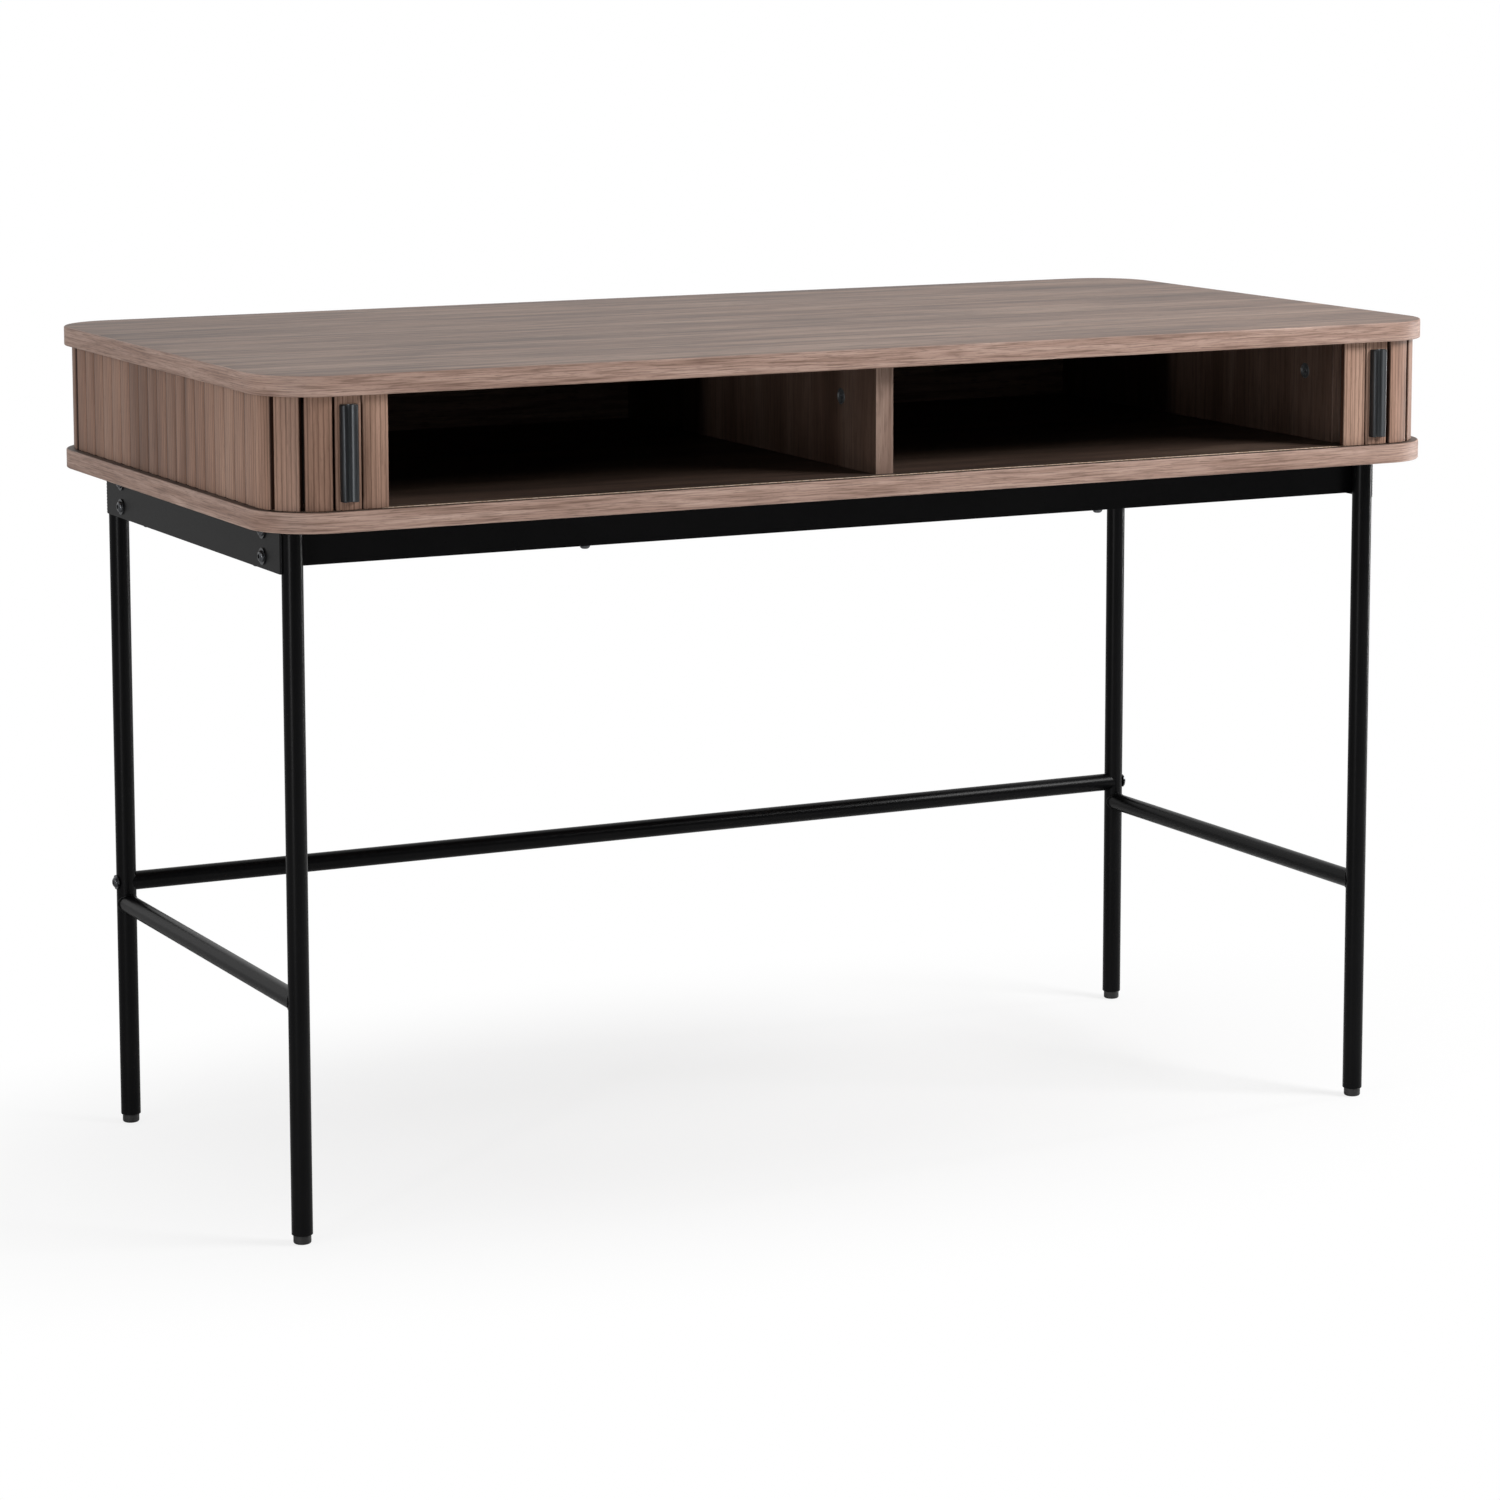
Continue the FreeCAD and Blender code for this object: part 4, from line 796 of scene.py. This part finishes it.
RAIL_BOLT_SHANK = 12 * MM
RAIL_BOLT_Y = 187.5 * MM
RAIL_BOLT_LEVELS = (608 * MM, 631 * MM)
rail_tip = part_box("rail_bolts")[1].x - HEAD_HEIGHT - RAIL_BOLT_SHANK
rail_places = [
    ((side * rail_tip, end * RAIL_BOLT_Y, level), (side, 0, 0))
    for side in (-1, 1)
    for end in (-1, 1)
    for level in RAIL_BOLT_LEVELS
]
rail_bolt = button_bolt(RAIL_BOLT_SHANK, BOLT_RADIUS, RAIL_HEAD_RADIUS, WASHER_HEIGHT)
bolt_group("rail_bolts_turned", rail_places, rail_bolt, "rail_bolts")
STRETCHER_BOLT_SHANK = 59 * MM
low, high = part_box("stretcher_bolts")
stretcher_tip = high.x - HEAD_HEIGHT - STRETCHER_BOLT_SHANK
bolt_middle = (low + high) / 2
stretcher_places = [((side * stretcher_tip, bolt_middle.y, bolt_middle.z), (side, 0, 0)) for side in (-1, 1)]
stretcher_bolt = button_bolt(STRETCHER_BOLT_SHANK, BOLT_RADIUS, STRETCHER_HEAD_RADIUS, WASHER_HEIGHT)
bolt_group("stretcher_bolts_turned", stretcher_places, stretcher_bolt, "stretcher_bolts")
SCREW_RADIUS = 2.5 * MM
SCREW_HEAD_RADIUS = 5 * MM
SCREW_TOP = 652 * MM
# x, y and the height at which the head bears on the rail
SCREWS_AT = {
    "side_rail_screws": (556.5 * MM, 145 * MM, 597 * MM),
    "cross_rail_screws": (268 * MM, 208.5 * MM, 602 * MM),
}
for name, (screw_x, screw_y, rail_z) in SCREWS_AT.items():
    screw_places = [
        ((side * screw_x, end * screw_y, SCREW_TOP), (0, 0, -1)) for side in (-1, 1) for end in (-1, 1)
    ]
    screw = button_bolt(SCREW_TOP - rail_z, SCREW_RADIUS, SCREW_HEAD_RADIUS, 0)
    bolt_group(name, screw_places, screw, "board_screws")


# Studio
# A plain pale floor that keeps the desk's shadow and fades to white round it, a bright back wall,
# and soft lamps: the main one at the front right, weaker ones, and a strip on each side for the tubes.
scene.view_settings.view_transform = "Standard"
FLOOR_REACH = 40.0
FLOOR_DROP = 0.2 * MM
FLOOR_NEAR = 0.4
FLOOR_CLEAR = 2.0
FLOOR_LIFT = 0.62
MIRROR_REACH = 2.0
MIRROR_SHARE = 0.25
floor_mesh = bpy.data.meshes.new("studio_floor")
floor_corners = FLOOR_REACH * np.array([(-1, -1), (1, -1), (1, 1), (-1, 1)])
floor_mesh.from_pydata(np.insert(floor_corners, 2, -FLOOR_DROP, axis=1).tolist(), [], [(0, 1, 2, 3)])
floor = bpy.data.objects.new("studio_floor", floor_mesh)
scene.collection.objects.link(floor)
paper, tree, shader = new_material("white paper sweep")
tree.nodes.remove(shader)
rays = node(tree, "LightPath").outputs
floor_place = node(tree, "TexCoord").outputs["Object"]
# reflections show some of the white behind the desk, and the floor as it is lit in front of it
floor_back = node(tree, "SeparateXYZ", {0: floor_place}).outputs["Y"]
mirror_range = {"From Min": HALF_DEPTH, "From Max": MIRROR_REACH, "To Max": MIRROR_SHARE}
behind = node(tree, "MapRange", {"Value": floor_back, **mirror_range})
mirrored = node(tree, "Math", {0: rays["Is Glossy Ray"], 1: behind.outputs[0]}, operation="MULTIPLY")
clear = node(tree, "Math", {0: rays["Is Camera Ray"], 1: rays["Is Transmission Ray"]}, operation="MAXIMUM")
seen = node(tree, "Math", {0: clear.outputs[0], 1: mirrored.outputs[0]}, operation="MAXIMUM").outputs[0]
# distance from the middle of the desk, in half widths and half depths of it
footprint = {0: floor_place, 1: (1 / HALF_WIDTH, 1 / HALF_DEPTH, 0)}
shares = node(tree, "VectorMath", footprint, operation="MULTIPLY")
away = node(tree, "VectorMath", {0: shares.outputs[0]}, operation="LENGTH").outputs["Value"]
fade = node(
    tree,
    "MapRange",
    {"Value": away, "From Min": FLOOR_NEAR, "From Max": FLOOR_CLEAR, "To Min": FLOOR_LIFT},
    interpolation_type="SMOOTHSTEP",
)
lift = node(tree, "Math", {0: seen, 1: fade.outputs[0]}, operation="MULTIPLY")
plain = node(tree, "BsdfDiffuse", {"Color": linear("#ececec")})
white = node(tree, "Emission", {"Color": (1, 1, 1, 1), "Strength": 1.0})
mixed = node(tree, "MixShader", {0: lift.outputs[0], 1: plain.outputs[0], 2: white.outputs[0]})
tree.links.new(mixed.outputs[0], tree.nodes["Material Output"].inputs["Surface"])
floor_mesh.materials.append(paper)

FRONT_LIGHT = 0.16
BACK_LIGHT = 0.5
WALL_RANGE = {"From Min": -0.4, "From Max": 0.5}
world = bpy.data.worlds.new("studio")
scene.world = world
world.use_nodes = True
tree = world.node_tree
rays = node(tree, "LightPath").outputs
heading = node(tree, "SeparateXYZ", {0: node(tree, "TexCoord").outputs["Generated"]}).outputs["Y"]
backness = node(tree, "MapRange", {"Value": heading, **WALL_RANGE}).outputs[0]
wall = node(tree, "Math", {0: rays["Is Glossy Ray"], 1: backness}, operation="MULTIPLY")
clear = node(tree, "Math", {0: rays["Is Camera Ray"], 1: rays["Is Transmission Ray"]}, operation="MAXIMUM")
shown = node(tree, "Math", {0: clear.outputs[0], 1: wall.outputs[0]}, operation="MAXIMUM")
soft = node(tree, "MapRange", {"Value": backness, "To Min": FRONT_LIGHT, "To Max": BACK_LIGHT})
level = node(tree, "MapRange", {"Value": shown.outputs[0], "To Min": soft.outputs[0], "To Max": 1.0})
tree.links.new(level.outputs[0], tree.nodes["Background"].inputs["Strength"])
tree.nodes["Background"].inputs["Color"].default_value = (1, 1, 1, 1)

LAMP_AIM = (0, 0, 0.6)
# place, width and height in metres, and watts
LAMPS = {
    "front_right": ((1.9, -1.7, 2.2), 1.1, 1.1, 90),
    "left": ((-3.4, -1.0, 1.7), 1.8, 1.8, 23),
    "overhead": ((1.1, 0.4, 3.1), 2.2, 2.2, 8),
    "left_strip": ((-2.9, -2.1, 0.5), 0.14, 0.96, 25),
    "right_strip": ((3.2, -0.1, 0.5), 0.16, 0.96, 25),
}
for name, (lamp_at, lamp_width, lamp_height, watts) in LAMPS.items():
    lamp = bpy.data.lights.new(name, "AREA")
    lamp.shape = "RECTANGLE"
    lamp.size = lamp_width
    lamp.size_y = lamp_height
    lamp.energy = watts
    holder = bpy.data.objects.new(name, lamp)
    holder.visible_camera = False
    aim = Vector(LAMP_AIM) - Vector(lamp_at)
    holder.matrix_world = Matrix.Translation(lamp_at) @ aim.to_track_quat("-Z", "Y").to_matrix().to_4x4()
    scene.collection.objects.link(holder)


# Viewpoint of the photograph
# A camera fitted to the legs, the rails and the outline of the top.
# Its axis meets the picture above the middle.
FRAME_PIXELS = 1500
FOCAL_PIXELS = 4530.4
MIDDLE_PIXELS = 525
SENSOR_MM = 36
CLIP_END = 200
CAMERA_AT = (-1.95144, -3.87048, 1.16221)
YAW, PITCH, ROLL = (math.radians(degrees) for degrees in (-26.796, 7.679, -0.082))
lens = bpy.data.cameras.new("viewpoint")
lens.sensor_width = SENSOR_MM
lens.lens = FOCAL_PIXELS * SENSOR_MM / FRAME_PIXELS
lens.shift_y = (MIDDLE_PIXELS - FRAME_PIXELS / 2) / FRAME_PIXELS
lens.clip_end = CLIP_END
camera = bpy.data.objects.new("viewpoint", lens)
ahead = Vector((-math.sin(YAW) * math.cos(PITCH), math.cos(YAW) * math.cos(PITCH), -math.sin(PITCH)))
sideways = ahead.cross(Vector((0, 0, 1))).normalized()
upward = sideways.cross(ahead)
right = sideways * math.cos(ROLL) + upward * math.sin(ROLL)
above = upward * math.cos(ROLL) - sideways * math.sin(ROLL)
camera.matrix_world = Matrix.Translation(CAMERA_AT) @ Matrix((right, above, -ahead)).transposed().to_4x4()
scene.collection.objects.link(camera)
scene.camera = camera
